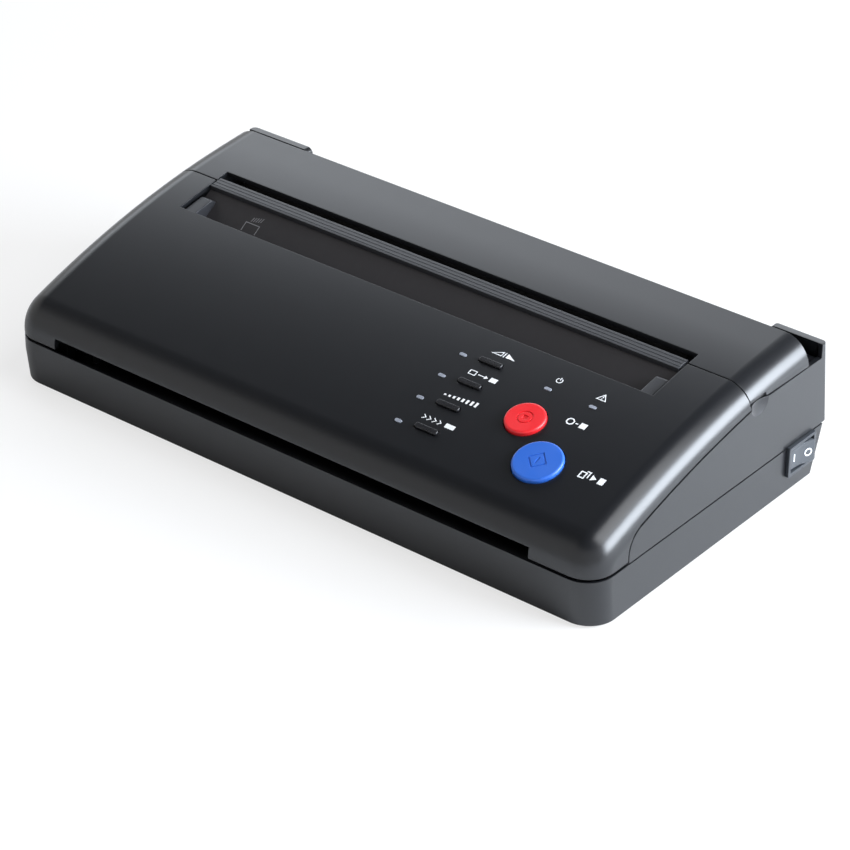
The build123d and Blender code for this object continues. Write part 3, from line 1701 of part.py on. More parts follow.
with BuildPart() as board_standoffs:
    with BuildSketch(Plane.XY.offset(inner_floor)):
        with Locations(standoff_places(main_board_box) + standoff_places(power_board_box)):
            RegularPolygon(3.0, 6)
    extrude(amount=board_base - inner_floor)
board_standoffs.part.label = "board_standoffs"

# ---------------------------------------------------------------------------
# One file for each piece
# ---------------------------------------------------------------------------

pieces = [
    base_tray,
    middle_housing,
    front_cover,
    rear_lid,
    exit_ridge,
    document_tray,
    document_guides,
    stop_button,
    copy_button,
    *mode_keys,
    indicator_lenses,
    control_board,
    tact_switches,
    panel_lamps,
    switch_body,
    switch_rocker,
    inlet_socket,
    inlet_pins,
    left_frame,
    right_frame,
    roller_bushes,
    feed_shaft,
    feed_roller,
    feed_gear,
    pressure_shaft,
    pressure_roller,
    pressure_gear,
    feed_motor,
    motor_pinion,
    first_idler,
    second_idler,
    third_idler,
    gear_posts,
    platen_shaft,
    platen_roller,
    platen_gear,
    platen_bushes,
    scanner_carrier,
    scanner_bar,
    scanner_glass,
    exit_guide,
    upper_guide,
    separation_pad,
    thermal_head,
    head_heatsink,
    head_bracket,
    head_springs,
    stencil_guide,
    lid_hinge_pins,
    cover_hinge_pins,
    rubber_feet,
    case_screws,
    main_board,
    power_board,
    transformer,
    board_standoffs,
]
for piece in pieces:
    export_step(piece.part, f"parts/{piece.part.label}.step")
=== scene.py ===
import bpy
import bmesh
from math import asin, atan2, copysign, cos, degrees, hypot, radians, sin, tan
from mathutils import Matrix, Vector
from mathutils.bvhtree import BVHTree


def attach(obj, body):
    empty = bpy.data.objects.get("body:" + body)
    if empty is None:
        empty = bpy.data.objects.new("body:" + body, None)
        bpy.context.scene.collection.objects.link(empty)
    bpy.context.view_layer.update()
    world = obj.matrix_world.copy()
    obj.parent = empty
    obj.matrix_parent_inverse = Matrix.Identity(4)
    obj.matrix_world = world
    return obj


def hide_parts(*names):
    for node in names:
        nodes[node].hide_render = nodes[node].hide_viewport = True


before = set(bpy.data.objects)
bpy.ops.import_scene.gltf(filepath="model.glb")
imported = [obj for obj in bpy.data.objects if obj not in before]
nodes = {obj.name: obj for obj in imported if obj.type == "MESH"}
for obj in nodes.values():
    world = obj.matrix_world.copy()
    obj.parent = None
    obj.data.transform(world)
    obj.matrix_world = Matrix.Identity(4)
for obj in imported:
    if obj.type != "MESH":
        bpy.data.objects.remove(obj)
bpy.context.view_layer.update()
scene = bpy.context.scene
MM = 0.001

# ---------------------------------------------------------------------------
# Curve of the covers, in millimetres, as in the CAD model
# ---------------------------------------------------------------------------

HALF_LENGTH = 150.0
DEPTH = 157.0
WALL = 2.2
NOSE_START = 24.0
NOSE_RADIUS = 16.0
FRONT_SLOPE = 20.0
CROWN_RADIUS = 441.0
LID_SLOPE = 4.5
SHOULDER_RADIUS = 12.0
SKIN_TOLERANCE = 0.08
CROWN_START = NOSE_RADIUS * (1 - sin(radians(FRONT_SLOPE)))
CROWN_RUN = CROWN_RADIUS * (sin(radians(FRONT_SLOPE)) - sin(radians(LID_SLOPE)))


def y_at(from_front):
    """Y of a point measured back from the front face."""
    return from_front - DEPTH / 2


def slope_at(from_front):
    """Slope of the covers in degrees at a distance from the front face."""
    if from_front < CROWN_START:
        return degrees(asin(1 - from_front / NOSE_RADIUS))
    if from_front < CROWN_START + CROWN_RUN:
        return degrees(asin(sin(radians(FRONT_SLOPE)) - (from_front - CROWN_START) / CROWN_RADIUS))
    return LID_SLOPE


def top_height(from_front):
    """Height of the covers over the floor at a distance from the front face."""
    slope = radians(slope_at(from_front))
    if from_front < CROWN_START:
        return NOSE_START + NOSE_RADIUS * cos(slope)
    height = NOSE_START + NOSE_RADIUS * cos(radians(FRONT_SLOPE))
    height += CROWN_RADIUS * (cos(slope) - cos(radians(FRONT_SLOPE)))
    if from_front > CROWN_START + CROWN_RUN:
        height += (from_front - CROWN_START - CROWN_RUN) * tan(radians(LID_SLOPE))
    return height


def side_direction(from_front, height):
    """Outward direction of the covers' side curve as (back, up), and the depth below it."""
    if height < NOSE_START:
        return (-1.0, 0.0), from_front
    base = NOSE_START + NOSE_RADIUS * cos(radians(FRONT_SLOPE))
    crown_front = CROWN_START + CROWN_RADIUS * sin(radians(FRONT_SLOPE))
    crown_low = base - CROWN_RADIUS * cos(radians(FRONT_SLOPE))
    crown_end = CROWN_START + CROWN_RUN
    slope = atan2(crown_front - from_front, height - crown_low)
    if slope > radians(FRONT_SLOPE):
        back, up = from_front - NOSE_RADIUS, height - NOSE_START
        reach = hypot(back, up)
        return (back / reach, up / reach), NOSE_RADIUS - reach
    if from_front < crown_end:
        reach = hypot(crown_front - from_front, height - crown_low)
        return (-sin(slope), cos(slope)), CROWN_RADIUS - reach
    end_slope = radians(LID_SLOPE)
    depth = (top_height(from_front) - height) * cos(end_slope)
    return (-sin(end_slope), cos(end_slope)), depth


def skin_normal(point):
    """True normal of the covers' outer or inner skin at a point in millimetres,
    or None off the skin."""
    across = abs(point.x) - (HALF_LENGTH - SHOULDER_RADIUS)
    side = copysign(1.0, point.x)
    (back, up), depth = side_direction(point.y + DEPTH / 2, point.z)
    if across <= 0:
        below, normal = depth, Vector((0, back, up))
    elif depth < SHOULDER_RADIUS:
        rise = SHOULDER_RADIUS - depth
        reach = hypot(across, rise)
        below = SHOULDER_RADIUS - reach
        normal = Vector((side * across / reach, back * rise / reach, up * rise / reach))
    else:
        below, normal = SHOULDER_RADIUS - across, Vector((side, 0, 0))
    if abs(below) < SKIN_TOLERANCE:
        return normal
    if abs(below - WALL) < SKIN_TOLERANCE:
        return -normal
    return None


# ---------------------------------------------------------------------------
# Materials
# ---------------------------------------------------------------------------

NOISE_LOW = 0.3
NOISE_HIGH = 0.7
TONE_SCALE = 35.0
GLOSS_SCALE = 160.0
GRAIN_STRENGTH = 0.35
METAL_SCALE = 60.0
METAL_STREAK = (1.0, 40.0, 40.0)
METAL_SHADE = 0.85
METAL_GLOSSIER = 0.06
METAL_DULLER = 0.08
PIT_SCALE = 3000.0
RUBBER_SHADE = 0.7
RUBBER_ROUGHNESS = 0.85
TRACE_SCALE = 220.0
BOARD_GLOSS_SCALE = 90.0
SMEAR_SCALE = 60.0
SMOOTH_GRAIN = 4000.0
PRINT_LOOK = {"grain": 5000.0, "grain_depth": 0.000005, "tint": 0.04}


def new_material(name, **inputs):
    """Material with its node tree and its main shader, set to the inputs given."""
    material = bpy.data.materials.new(name)
    material.use_nodes = True
    shader = material.node_tree.nodes["Principled BSDF"]
    for key, value in inputs.items():
        shader.inputs[key.replace("_", " ")].default_value = value
    return material, material.node_tree, shader


def noise(tree, scale, detail=2.0):
    """Noise texture in the object's own space."""
    coordinates = tree.nodes.new("ShaderNodeTexCoord")
    texture = tree.nodes.new("ShaderNodeTexNoise")
    texture.inputs["Scale"].default_value = scale
    texture.inputs["Detail"].default_value = detail
    tree.links.new(coordinates.outputs["Object"], texture.inputs["Vector"])
    return texture


def vary_gloss(tree, shader, source, low, high):
    """Roughness that follows the middle of a noise over a range of values."""
    node = tree.nodes.new("ShaderNodeMapRange")
    node.inputs["From Min"].default_value = NOISE_LOW
    node.inputs["From Max"].default_value = NOISE_HIGH
    node.inputs["To Min"].default_value = low
    node.inputs["To Max"].default_value = high
    tree.links.new(source, node.inputs["Value"])
    tree.links.new(node.outputs["Result"], shader.inputs["Roughness"])


def blend_colour(tree, shader, factor, first, second):
    """Base colour that runs between two colours."""
    node = tree.nodes.new("ShaderNodeMix")
    node.data_type = "RGBA"
    node.inputs["A"].default_value = (*first, 1)
    node.inputs["B"].default_value = (*second, 1)
    tree.links.new(factor, node.inputs["Factor"])
    tree.links.new(node.outputs["Result"], shader.inputs["Base Color"])


def bump(tree, shader, height, strength, distance):
    """Fine relief of the surface that follows a height."""
    node = tree.nodes.new("ShaderNodeBump")
    node.inputs["Strength"].default_value = strength
    node.inputs["Distance"].default_value = distance
    tree.links.new(height, node.inputs["Height"])
    tree.links.new(node.outputs["Normal"], shader.inputs["Normal"])


def plastic(name, colour, roughness, grain=4200.0, grain_depth=0.00001, spread=0.05, tint=0.12):
    """Moulded plastic: fine sparked grain, slightly uneven gloss and tone."""
    material, tree, shader = new_material(name, IOR=1.5)
    tone = noise(tree, TONE_SCALE, detail=4.0)
    darker = [c * (1 - tint) for c in colour]
    lighter = [c * (1 + tint) for c in colour]
    blend_colour(tree, shader, tone.outputs["Fac"], darker, lighter)
    gloss = noise(tree, GLOSS_SCALE, detail=3.0)
    vary_gloss(tree, shader, gloss.outputs["Fac"], roughness - spread, roughness + spread)
    fine = noise(tree, grain)
    bump(tree, shader, fine.outputs["Fac"], GRAIN_STRENGTH, grain_depth)
    return material


def metal(name, colour, roughness):
    """Drawn or rolled metal with faint streaks along one direction."""
    material, tree, shader = new_material(name, Metallic=1.0)
    coordinates = tree.nodes.new("ShaderNodeTexCoord")
    stretch = tree.nodes.new("ShaderNodeMapping")
    stretch.inputs["Scale"].default_value = METAL_STREAK
    texture = tree.nodes.new("ShaderNodeTexNoise")
    texture.inputs["Scale"].default_value = METAL_SCALE
    texture.inputs["Detail"].default_value = 4.0
    tree.links.new(coordinates.outputs["Object"], stretch.inputs["Vector"])
    tree.links.new(stretch.outputs["Vector"], texture.inputs["Vector"])
    streaks = texture.outputs["Fac"]
    blend_colour(tree, shader, streaks, [c * METAL_SHADE for c in colour], colour)
    vary_gloss(tree, shader, streaks, roughness - METAL_GLOSSIER, roughness + METAL_DULLER)
    bump(tree, shader, streaks, strength=0.15, distance=0.00002)
    return material


def rubber(name, colour):
    """Ground rubber: matt with a fine pitted surface."""
    material, tree, shader = new_material(name, IOR=1.45)
    pits = noise(tree, PIT_SCALE, detail=3.0)
    blend_colour(tree, shader, pits.outputs["Fac"], [c * RUBBER_SHADE for c in colour], colour)
    shader.inputs["Roughness"].default_value = RUBBER_ROUGHNESS
    bump(tree, shader, pits.outputs["Fac"], strength=0.5, distance=0.00005)
    return material


def board_material():
    """Green solder mask with darker copper traces showing through."""
    material, tree, shader = new_material("board", IOR=1.5)
    coordinates = tree.nodes.new("ShaderNodeTexCoord")
    traces = tree.nodes.new("ShaderNodeTexBrick")
    traces.inputs["Scale"].default_value = TRACE_SCALE
    traces.inputs["Mortar Size"].default_value = 0.06
    traces.inputs["Color1"].default_value = (0.012, 0.085, 0.04, 1)
    traces.inputs["Color2"].default_value = (0.014, 0.10, 0.05, 1)
    traces.inputs["Mortar"].default_value = (0.03, 0.19, 0.09, 1)
    tree.links.new(coordinates.outputs["Object"], traces.inputs["Vector"])
    tree.links.new(traces.outputs["Color"], shader.inputs["Base Color"])
    gloss = noise(tree, BOARD_GLOSS_SCALE)
    vary_gloss(tree, shader, gloss.outputs["Fac"], low=0.25, high=0.4)
    return material


def glass_material():
    """Clear pane with a faint smear in its gloss."""
    material, tree, shader = new_material("scanner_glass_pane", IOR=1.5)
    shader.inputs["Transmission Weight"].default_value = 0.9
    smear = noise(tree, SMEAR_SCALE)
    vary_gloss(tree, shader, smear.outputs["Fac"], low=0.02, high=0.08)
    blend_colour(tree, shader, smear.outputs["Fac"], (0.75, 0.85, 0.84), (0.85, 0.92, 0.92))
    return material


casing = plastic("casing", (0.0088, 0.0094, 0.0112), 0.29, spread=0.006, tint=0.03)
inner_black = plastic("inner_black", (0.016, 0.016, 0.018), 0.5)
tray_black = plastic("tray_black", (0.024, 0.022, 0.024), 0.60, grain=1800.0)
ridge_black = plastic("ridge_black", (0.024, 0.025, 0.029), 0.36, spread=0.01, tint=0.03)
key_black = plastic("key_black", (0.012, 0.012, 0.014), 0.28, grain=SMOOTH_GRAIN)
switch_black = plastic("switch_black", (0.022, 0.026, 0.032), 0.3, grain=SMOOTH_GRAIN)
rocker_grey = plastic("rocker_grey", (0.050, 0.056, 0.064), 0.24, grain=SMOOTH_GRAIN)
tray_print = plastic("tray_print", (0.24, 0.24, 0.25), 0.5, **PRINT_LOOK)
red = plastic("red_button", (0.74, 0.018, 0.024), 0.36, grain=SMOOTH_GRAIN, tint=0.05)
blue = plastic("blue_button", (0.026, 0.125, 0.54), 0.36, grain=SMOOTH_GRAIN, tint=0.05)
lens = plastic("lamp_lens", (0.26, 0.28, 0.33), 0.3, grain=3000.0)
print_white = plastic("print_white", (0.80, 0.82, 0.84), 0.5, **PRINT_LOOK)
acetal = plastic("acetal", (0.78, 0.77, 0.72), 0.38, grain=SMOOTH_GRAIN, tint=0.04)
chip = plastic("chip", (0.02, 0.02, 0.021), 0.5)
ceramic = plastic("ceramic", (0.72, 0.72, 0.68), 0.25, grain=SMOOTH_GRAIN, tint=0.03)
zinc = metal("zinc_sheet", (0.58, 0.60, 0.62), 0.34)
steel = metal("steel", (0.60, 0.60, 0.61), 0.25)
aluminium = metal("aluminium", (0.72, 0.73, 0.75), 0.36)
brass = metal("brass", (0.68, 0.50, 0.22), 0.3)
plated = metal("plated_contact", (0.70, 0.69, 0.64), 0.28)
dark_rubber = rubber("dark_rubber", (0.022, 0.022, 0.023))
white_rubber = rubber("white_rubber", (0.62, 0.62, 0.60))
board = board_material()
glass = glass_material()

finishes = {
    casing: ["base_tray", "middle_housing", "front_cover", "rear_lid"],
    ridge_black: ["exit_ridge", "document_guides"],
    tray_black: ["document_tray"],
    inner_black: ["upper_guide", "scanner_bar"],
    key_black: ["mode_key_1", "mode_key_2", "mode_key_3", "mode_key_4"],
    switch_black: ["switch_body", "inlet_socket"],
    rocker_grey: ["switch_rocker"],
    red: ["stop_button"],
    blue: ["copy_button"],
    lens: ["indicator_lenses", "panel_lamps"],
    board: ["control_board", "main_board", "power_board"],
    chip: ["tact_switches", "transformer"],
    acetal: [
        "feed_gear",
        "pressure_gear",
        "first_idler",
        "second_idler",
        "third_idler",
        "platen_gear",
    ],
    zinc: [
        "left_frame",
        "right_frame",
        "feed_motor",
        "scanner_carrier",
        "exit_guide",
        "head_bracket",
        "stencil_guide",
    ],
    steel: [
        "feed_shaft",
        "pressure_shaft",
        "platen_shaft",
        "gear_posts",
        "head_springs",
        "lid_hinge_pins",
        "cover_hinge_pins",
        "case_screws",
    ],
    brass: ["roller_bushes", "platen_bushes", "motor_pinion", "board_standoffs"],
    plated: ["inlet_pins"],
    aluminium: ["head_heatsink"],
    ceramic: ["thermal_head"],
    dark_rubber: ["feed_roller", "platen_roller", "separation_pad", "rubber_feet"],
    white_rubber: ["pressure_roller"],
    glass: ["scanner_glass"],
}
for material, names in finishes.items():
    for name in names:
        mesh = nodes[name].data
        mesh.materials.clear()
        mesh.materials.append(material)

# ---------------------------------------------------------------------------
# Moulded shells: the CAD forms with a small radius on every edge
# ---------------------------------------------------------------------------

# radii and cut in millimetres, the weld distance in metres
EDGE_ANGLE = radians(25)
FLAT_ANGLE = radians(0.3)
WELD_DISTANCE = 0.00001
ROOM_FACTOR = 2.2
EDGE_SEGMENTS = 2
SMOOTH_LIMIT = cos(radians(40))
SKIN_LIMIT = 0.85
COVER_EDGE = 0.3
BASE_EDGE = 0.15
HOUSING_EDGE = 0.25
INSERT_EDGE = 0.2
GUIDE_EDGE = 0.5
BUTTON_EDGE = 0.12
LENS_EDGE = 0.15
KEY_EDGE = 0.25
SWITCH_CUT = ((144.0, 49.0, 8.0), (151.0, 69.5, 21.3))


def add_piece(name, mesh, material, body):
    """A new object that rides on a body."""
    piece = bpy.data.objects.new(name, mesh)
    scene.collection.objects.link(piece)
    mesh.materials.append(material)
    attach(piece, body)
    return piece


def face_reach(face, edge):
    """How far a face extends from one of its edges."""
    start = edge.verts[0].co
    way = (edge.verts[1].co - start).normalized()
    return max((vert.co - start).cross(way).length for vert in face.verts)


def roundable(edge, radius):
    """True for a sharp edge between faces that leave room for the radius."""
    if len(edge.link_faces) != 2 or edge.calc_face_angle(0) < EDGE_ANGLE:
        return False
    return min(face_reach(face, edge) for face in edge.link_faces) > ROOM_FACTOR * radius * MM


def within(edge, room):
    """True if both ends of an edge lie in a box in millimetres."""
    low, high = room
    for vert in edge.verts:
        if not all(low[axis] <= vert.co[axis] / MM <= high[axis] for axis in range(3)):
            return False
    return True


def corner_normals(mesh, on_skin):
    """Normal of each face corner: the covers' own where the corner lies on their skin,
    and elsewhere the mean of the faces round it that turn by less than the smooth limit."""
    true_normals = [skin_normal(vertex.co / MM) if on_skin else None for vertex in mesh.vertices]
    faces_round = [[] for vertex in mesh.vertices]
    for face in mesh.polygons:
        for index in face.vertices:
            faces_round[index].append(face)
    normals = []
    for face in mesh.polygons:
        for index in face.vertices:
            true_normal = true_normals[index]
            if true_normal and true_normal.dot(face.normal) > SKIN_LIMIT:
                normals.append(true_normal)
                continue
            total = Vector((0, 0, 0))
            for other in faces_round[index]:
                if other.normal.dot(face.normal) > SMOOTH_LIMIT:
                    total += other.normal * other.area
            normals.append(total.normalized())
    return normals


def moulded(node_name, name, body, material, radius, on_skin=False, keep_sharp=None):
    """Copy of a CAD form with rounded edges and clean shading, shown in its place."""
    form = bmesh.new()
    form.from_mesh(nodes[node_name].data)
    bmesh.ops.remove_doubles(form, verts=form.verts, dist=WELD_DISTANCE)
    bmesh.ops.dissolve_limit(form, angle_limit=FLAT_ANGLE, verts=form.verts, edges=form.edges)
    sharp = [edge for edge in form.edges if roundable(edge, radius)]
    if keep_sharp:
        sharp = [edge for edge in sharp if not within(edge, keep_sharp)]
    bmesh.ops.bevel(
        form,
        geom=sharp,
        offset=radius * MM,
        offset_type="OFFSET",
        segments=EDGE_SEGMENTS,
        profile=0.5,
        affect="EDGES",
        clamp_overlap=False,
    )
    bmesh.ops.triangulate(form, faces=form.faces)
    for face in form.faces:
        face.smooth = True
    mesh = bpy.data.meshes.new(name)
    form.to_mesh(mesh)
    form.free()
    mesh.normals_split_custom_set(corner_normals(mesh, on_skin))
    piece = add_piece(name, mesh, material, body)
    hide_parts(node_name)


moulded("front_cover", "front_cover_shell", "front_cover", casing, COVER_EDGE, on_skin=True)
moulded("rear_lid", "rear_lid_shell", "rear_lid", casing, COVER_EDGE, on_skin=True)
moulded("base_tray", "base_tray_shell", "base", casing, BASE_EDGE, keep_sharp=SWITCH_CUT)
moulded("middle_housing", "middle_housing_shell", "base", casing, HOUSING_EDGE)
moulded("exit_ridge", "exit_ridge_bar", "base", ridge_black, INSERT_EDGE)
moulded("document_guides", "document_guide_pair", "base", ridge_black, GUIDE_EDGE)
moulded("document_tray", "document_tray_sheet", "base", tray_black, INSERT_EDGE)
moulded("switch_body", "switch_bezel", "base", switch_black, INSERT_EDGE)
moulded("switch_rocker", "switch_rocker_cap", "power_rocker", rocker_grey, KEY_EDGE)
moulded("stop_button", "stop_button_cap", "stop_button", red, BUTTON_EDGE)
moulded("copy_button", "copy_button_cap", "copy_button", blue, BUTTON_EDGE)
moulded("indicator_lenses", "indicator_lens_set", "front_cover", lens, LENS_EDGE)
for number in range(1, 5):
    key = f"mode_key_{number}"
    moulded(key, f"mode_key_cap_{number}", key, key_black, KEY_EDGE)

# ---------------------------------------------------------------------------
# Printed marks
# ---------------------------------------------------------------------------

# heights over the surface and widths of strokes in millimetres
PRINT_RISE = 0.03
PRINT_ROOT = -0.12
RAY_START = 30
MITRE_LIMIT = 0.4
BOLD = 0.55
RING_WIDTH = 0.5
THIN = 0.38
FINE = 0.3
FINEST = 0.26


def on_panel(x, from_front):
    """Maps marks in millimetres to the control panel: right along X, up the slope."""

    def place(right, up, rise):
        slope = radians(slope_at(from_front))
        back = from_front + up * cos(slope)
        local = radians(slope_at(back))
        y = y_at(back) - rise * sin(local)
        z = top_height(back) + rise * cos(local)
        return Vector((x + right, y, z))

    return place


def on_node(node_name, centre, right_way, up_way, out_way):
    """Maps marks in millimetres to the face of a node that looks along out_way."""
    mesh = nodes[node_name].data
    corners = [vertex.co for vertex in mesh.vertices]
    surface = BVHTree.FromPolygons(corners, [tuple(face.vertices) for face in mesh.polygons])

    def place(right, up, rise):
        above = centre + right_way * right + up_way * up + out_way * RAY_START
        spot, normal = surface.ray_cast(above * MM, -out_way)[:2]
        if spot is None:
            raise ValueError(f"a mark lies off {node_name}")
        return spot / MM + normal * rise

    return place


def offset_lines(points, width, closed):
    """Left and right edge of a stroke along points, mitred at its corners."""
    left, right = [], []
    count = len(points)
    for index, (px, py) in enumerate(points):
        before = points[index - 1] if index > 0 or closed else None
        after = points[(index + 1) % count] if index < count - 1 or closed else None
        ways = []
        if before:
            ways.append((Vector((px, py)) - Vector(before)).normalized())
        if after:
            ways.append((Vector(after) - Vector((px, py))).normalized())
        way = sum(ways, Vector((0, 0))).normalized()
        across = Vector((-way.y, way.x))
        reach = width / 2 / max(across.dot(Vector((-ways[0].y, ways[0].x))), MITRE_LIMIT)
        left.append(Vector((px, py)) + across * reach)
        right.append(Vector((px, py)) - across * reach)
    return left, right


def add_prism(form, outline, place):
    """Closed prism of a flat outline, from under the surface to just over it."""
    upper = [form.verts.new(place(p[0], p[1], PRINT_RISE) * MM) for p in outline]
    lower = [form.verts.new(place(p[0], p[1], PRINT_ROOT) * MM) for p in outline]
    form.faces.new(upper)
    form.faces.new(lower[::-1])
    for index in range(len(outline)):
        follow = (index + 1) % len(outline)
        form.faces.new((upper[follow], upper[index], lower[index], lower[follow]))


def marks_piece(name, body, material, groups):
    """One mesh of all the marks in groups of (place, list of marks)."""
    form = bmesh.new()
    for place, marks in groups:
        for kind, points, width in marks:
            if kind == "fill":
                add_prism(form, points, place)
                continue
            closed = kind == "ring"
            left, right = offset_lines(points, width, closed)
            steps = len(points) if closed else len(points) - 1
            for index in range(steps):
                follow = (index + 1) % len(points)
                outline = (right[index], right[follow], left[follow], left[index])
                add_prism(form, outline, place)
    bmesh.ops.recalc_face_normals(form, faces=form.faces)
    mesh = bpy.data.meshes.new(name)
    form.to_mesh(mesh)
    form.free()
    add_piece(name, mesh, material, body)


def circle(radius, count, centre=(0, 0), start=0.0, end=360.0):
    """Points round a circle, or along an arc of it."""
    whole = end - start >= 360.0
    steps = count if whole else count - 1
    angles = [radians(start + (end - start) * index / steps) for index in range(count)]
    return [(centre[0] + radius * cos(a), centre[1] + radius * sin(a)) for a in angles]


def rectangle(width, height, centre):
    """Corners of an upright rectangle about its centre."""
    x, y = centre
    return [
        (x - width / 2, y - height / 2),
        (x + width / 2, y - height / 2),
        (x + width / 2, y + height / 2),
        (x - width / 2, y + height / 2),
    ]


def mirror_mark():
    """Two triangles either side of a line."""
    left = [(-1.1, -1.15), (-1.1, 1.15), (-5.4, -1.15)]
    right = [(1.1, -1.3), (5.6, -1.3), (1.1, 1.3)]
    return [("ring", left, THIN), ("fill", right, 0), ("line", [(0, -1.5), (0, 1.5)], THIN)]


def page_mark():
    """A sheet, an arrow and a sheet."""
    return [
        ("ring", rectangle(3.0, 2.2, (-4.9, 0)), THIN),
        ("line", [(-2.2, 0), (1.4, 0)], THIN),
        ("fill", [(1.0, -1.0), (2.6, 0), (1.0, 1.0)], 0),
        ("fill", rectangle(3.2, 2.4, (5.2, 0)), 0),
    ]


def level_mark(count, pitch, low, high):
    """A row of bars that grow to the right."""
    bars = []
    for index in range(count):
        x = (index - (count - 1) / 2) * pitch
        height = low + (high - low) * index / (count - 1)
        bars.append(("fill", rectangle(1.05, height, (x, (height - high) / 2)), 0))
    return bars


def depth_mark():
    """Chevrons before a solid bar."""
    marks = []
    for index in range(4):
        x = -7.0 + index * 2.5
        marks.append(("line", [(x - 0.8, -1.1), (x + 0.6, 0), (x - 0.8, 1.1)], THIN))
    marks.append(("fill", rectangle(4.4, 2.2, (5.4, 0)), 0))
    return marks


def power_mark():
    """Open ring with a stem, the usual sign for power."""
    arc = circle(1.3, 16, (0, -0.1), -240.0, 60.0)
    return [("line", arc, THIN), ("line", [(0, 0.1), (0, 1.7)], THIN)]


def warning_mark():
    """Triangle with a stem and a dot."""
    return [
        ("ring", [(-2.1, -1.4), (2.1, -1.4), (0, 1.9)], THIN),
        ("line", [(0, -0.1), (0, 1.0)], THIN),
        ("fill", rectangle(0.45, 0.45, (0, -0.75)), 0),
    ]


def stop_mark():
    """Octagon beside a solid square."""
    return [
        ("ring", circle(1.6, 8, (-3.0, 0), 22.5, 382.5), BOLD),
        ("line", [(-0.6, 0), (0.6, 0)], BOLD),
        ("fill", rectangle(2.9, 2.9, (3.0, 0)), 0),
    ]


def copy_mark():
    """Two sheets, one behind the other, an arrowhead and a solid sheet."""
    return [
        ("ring", rectangle(2.3, 2.9, (-4.4, -0.3)), BOLD),
        ("line", [(-3.6, 2.0), (-1.9, 2.0), (-1.9, -1.0)], BOLD),
        ("fill", [(-0.5, -1.5), (1.9, 0), (-0.5, 1.5)], 0),
        ("fill", rectangle(2.6, 3.2, (4.2, 0)), 0),
    ]


def tray_pictogram():
    """A sheet with strokes above it, for the way the document goes in."""
    marks = [("line", [(-4.4, -3.2), (-4.4, 1.2), (3.0, 1.2), (3.0, -3.2)], FINE)]
    for index in range(5):
        x = -2.4 + index * 1.15
        lift = 0.25 * index
        marks.append(("line", [(x, 2.0 + lift), (x + 0.6, 4.2 + lift)], FINEST))
    return marks


marks_piece(
    "panel_marks",
    "front_cover",
    print_white,
    [
        (on_panel(54.8, 68.8), mirror_mark()),
        (on_panel(54.8, 54.6), page_mark()),
        (on_panel(55.2, 40.8), level_mark(8, 2.1, 0.8, 2.6)),
        (on_panel(55.1, 27.0), depth_mark()),
        (on_panel(82.8, 67.2), power_mark()),
        (on_panel(103.5, 67.2), warning_mark()),
        (on_panel(103.4, 50.7), stop_mark()),
        (on_panel(125.8, 30.6), copy_mark()),
    ],
)
TRAY_MARK_CENTRE = Vector((-95.0, y_at(89.0), 54.0))
TRAY_UP = Vector((0, 0.829, 0.559))
TRAY_OUT = Vector((0, -0.559, 0.829))
tray_place = on_node("document_tray", TRAY_MARK_CENTRE, Vector((1, 0, 0)), TRAY_UP, TRAY_OUT)
marks_piece("tray_marks", "base", tray_print, [(tray_place, tray_pictogram())])
ROCKER_MARK_CENTRE = Vector((150.0, 0.0, 15.0))
ON_SIGN_Y = 54.9
OFF_SIGN_Y = 62.4
rocker_place = on_node(
    "switch_rocker", ROCKER_MARK_CENTRE, Vector((0, 1, 0)), Vector((0, 0, 1)), Vector((1, 0, 0))
)
on_sign = [("line", [(ON_SIGN_Y, -1.7), (ON_SIGN_Y, 1.7)], BOLD)]
off_sign = [("ring", circle(1.5, 18, (OFF_SIGN_Y, 0.0)), RING_WIDTH)]
marks_piece("rocker_marks", "power_rocker", print_white, [(rocker_place, on_sign + off_sign)])

# ---------------------------------------------------------------------------
# Floor, light and camera
# ---------------------------------------------------------------------------

FLOOR_CORNERS = [(-6, -6, 0), (6, -6, 0), (6, 6, 0), (-6, 6, 0)]
FLOOR_GLOW_SHARE = 0.7
PAPER_SCALE = 3.0
PAPER_ROUGHNESS = 0.9

floor_mesh = bpy.data.meshes.new("floor")
floor_mesh.from_pydata(FLOOR_CORNERS, [], [(0, 1, 2, 3)])
floor = bpy.data.objects.new("floor", floor_mesh)
scene.collection.objects.link(floor)
floor_material, floor_tree, floor_shader = new_material("floor_paper", Roughness=PAPER_ROUGHNESS)
paper = noise(floor_tree, PAPER_SCALE).outputs["Fac"]
blend_colour(floor_tree, floor_shader, paper, (0.84, 0.84, 0.84), (0.88, 0.88, 0.88))
# the paper glows for the camera alone
floor_glow = floor_tree.nodes.new("ShaderNodeEmission")
floor_glow.inputs["Strength"].default_value = 1.0
floor_path = floor_tree.nodes.new("ShaderNodeLightPath")
floor_share = floor_tree.nodes.new("ShaderNodeMath")
floor_share.operation = "MULTIPLY"
floor_share.inputs[1].default_value = FLOOR_GLOW_SHARE
floor_mix = floor_tree.nodes.new("ShaderNodeMixShader")
floor_output = floor_tree.nodes["Material Output"]
floor_tree.links.new(floor_path.outputs["Is Camera Ray"], floor_share.inputs[0])
floor_tree.links.new(floor_share.outputs["Value"], floor_mix.inputs["Fac"])
floor_tree.links.new(floor_shader.outputs["BSDF"], floor_mix.inputs[1])
floor_tree.links.new(floor_glow.outputs["Emission"], floor_mix.inputs[2])
floor_tree.links.new(floor_mix.outputs["Shader"], floor_output.inputs["Surface"])
floor_mesh.materials.append(floor_material)


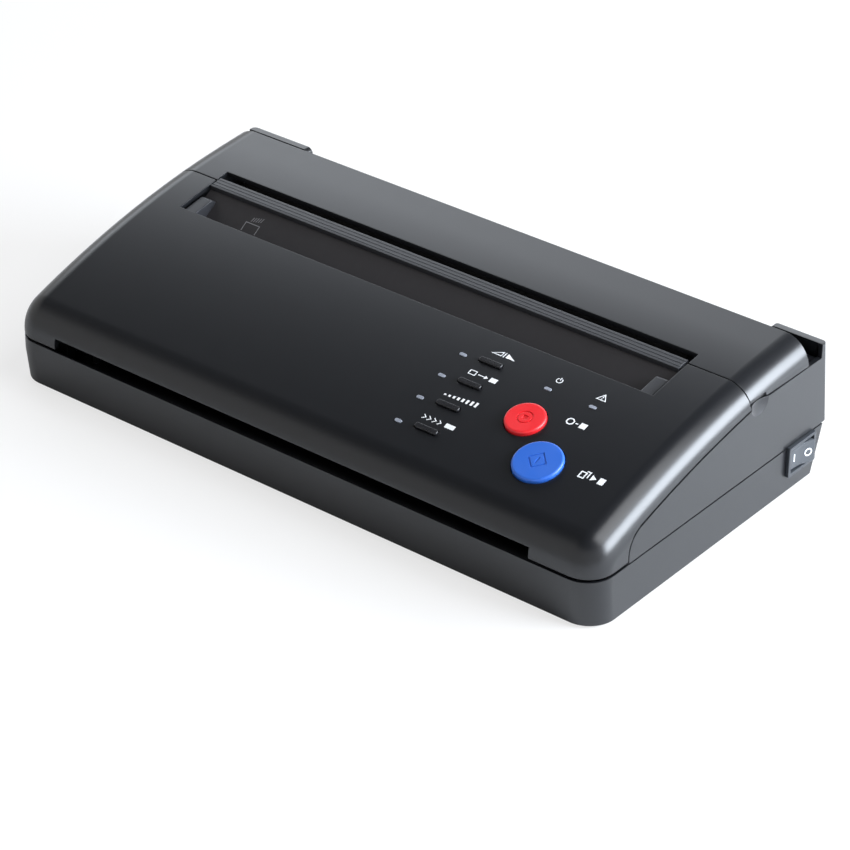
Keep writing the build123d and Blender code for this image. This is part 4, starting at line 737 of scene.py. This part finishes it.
def softbox(name, place, aim, width, height, power, colour):
    """Rectangular area light at a place, turned to its aim."""
    data = bpy.data.lights.new(name, "AREA")
    data.shape = "RECTANGLE"
    data.size = width
    data.size_y = height
    data.energy = power
    data.color = colour
    light = bpy.data.objects.new(name, data)
    scene.collection.objects.link(light)
    light.location = place
    light.rotation_euler = (Vector(aim) - Vector(place)).to_track_quat("-Z", "Y").to_euler()


softbox(
    "key_light",
    place=(1.15, 0.25, 1.75),
    aim=(0.1, 0, 0),
    width=1.2,
    height=1.2,
    power=24,
    colour=(0.95, 0.97, 1.0),
)
softbox(
    "side_light",
    place=(0.95, 0.45, 0.42),
    aim=(0.2, 0.1, 0),
    width=0.9,
    height=0.5,
    power=32,
    colour=(0.84, 0.91, 1.0),
)
softbox(
    "rear_light",
    place=(-1.35, 1.45, 1.12),
    aim=(0, 0.05, 0.05),
    width=2.2,
    height=0.75,
    power=14,
    colour=(0.86, 0.92, 1.0),
)

SKY_BAND_LOW = 0.52
SKY_BAND_HIGH = 0.74
SKY_LEVEL = 0.75
SKY_TOP_LEVEL = 0.05

# light all round that fades to a dim ceiling; the camera itself sees plain white
world = bpy.data.worlds.new("studio")
scene.world = world
world.use_nodes = True
world_tree = world.node_tree
background = world_tree.nodes["Background"]
direction = world_tree.nodes.new("ShaderNodeTexCoord")
split = world_tree.nodes.new("ShaderNodeSeparateXYZ")
world_tree.links.new(direction.outputs["Generated"], split.inputs["Vector"])
height_ramp = world_tree.nodes.new("ShaderNodeMapRange")
height_ramp.interpolation_type = "SMOOTHSTEP"
height_ramp.inputs["From Min"].default_value = SKY_BAND_LOW
height_ramp.inputs["From Max"].default_value = SKY_BAND_HIGH
height_ramp.inputs["To Min"].default_value = SKY_LEVEL
height_ramp.inputs["To Max"].default_value = SKY_TOP_LEVEL
world_tree.links.new(split.outputs["Z"], height_ramp.inputs["Value"])
light_path = world_tree.nodes.new("ShaderNodeLightPath")
seen = world_tree.nodes.new("ShaderNodeMath")
seen.operation = "MAXIMUM"
world_tree.links.new(height_ramp.outputs["Result"], seen.inputs[0])
world_tree.links.new(light_path.outputs["Is Camera Ray"], seen.inputs[1])
world_tree.links.new(seen.outputs["Value"], background.inputs["Strength"])
background.inputs["Color"].default_value = (1, 1, 1, 1)

EYE = Vector((0.74017, -0.91756, 0.71437))
FORWARD = Vector((-0.53754, 0.68198, -0.49593)).normalized()
ROLL = radians(0.62)
SENSOR_WIDTH = 36.0
FOCAL_LENGTH = 141.96
SHIFT_X = -0.0233
SHIFT_Y = -0.1066
CLIP_START = 0.05
CLIP_END = 50

camera_data = bpy.data.cameras.new("camera")
camera_data.sensor_width = SENSOR_WIDTH
camera_data.lens = FOCAL_LENGTH
camera_data.shift_x = SHIFT_X
camera_data.shift_y = SHIFT_Y
camera_data.clip_start = CLIP_START
camera_data.clip_end = CLIP_END
camera = bpy.data.objects.new("camera", camera_data)
scene.collection.objects.link(camera)
level_right = FORWARD.cross(Vector((0, 0, 1))).normalized()
level_up = level_right.cross(FORWARD)
right = level_right * cos(ROLL) + level_up * sin(ROLL)
up = level_up * cos(ROLL) - level_right * sin(ROLL)
camera.matrix_world = Matrix(
    (
        (right.x, up.x, -FORWARD.x, EYE.x),
        (right.y, up.y, -FORWARD.y, EYE.y),
        (right.z, up.z, -FORWARD.z, EYE.z),
        (0, 0, 0, 1),
    )
)
scene.camera = camera
scene.view_settings.view_transform = "Standard"
scene.view_settings.look = "None"
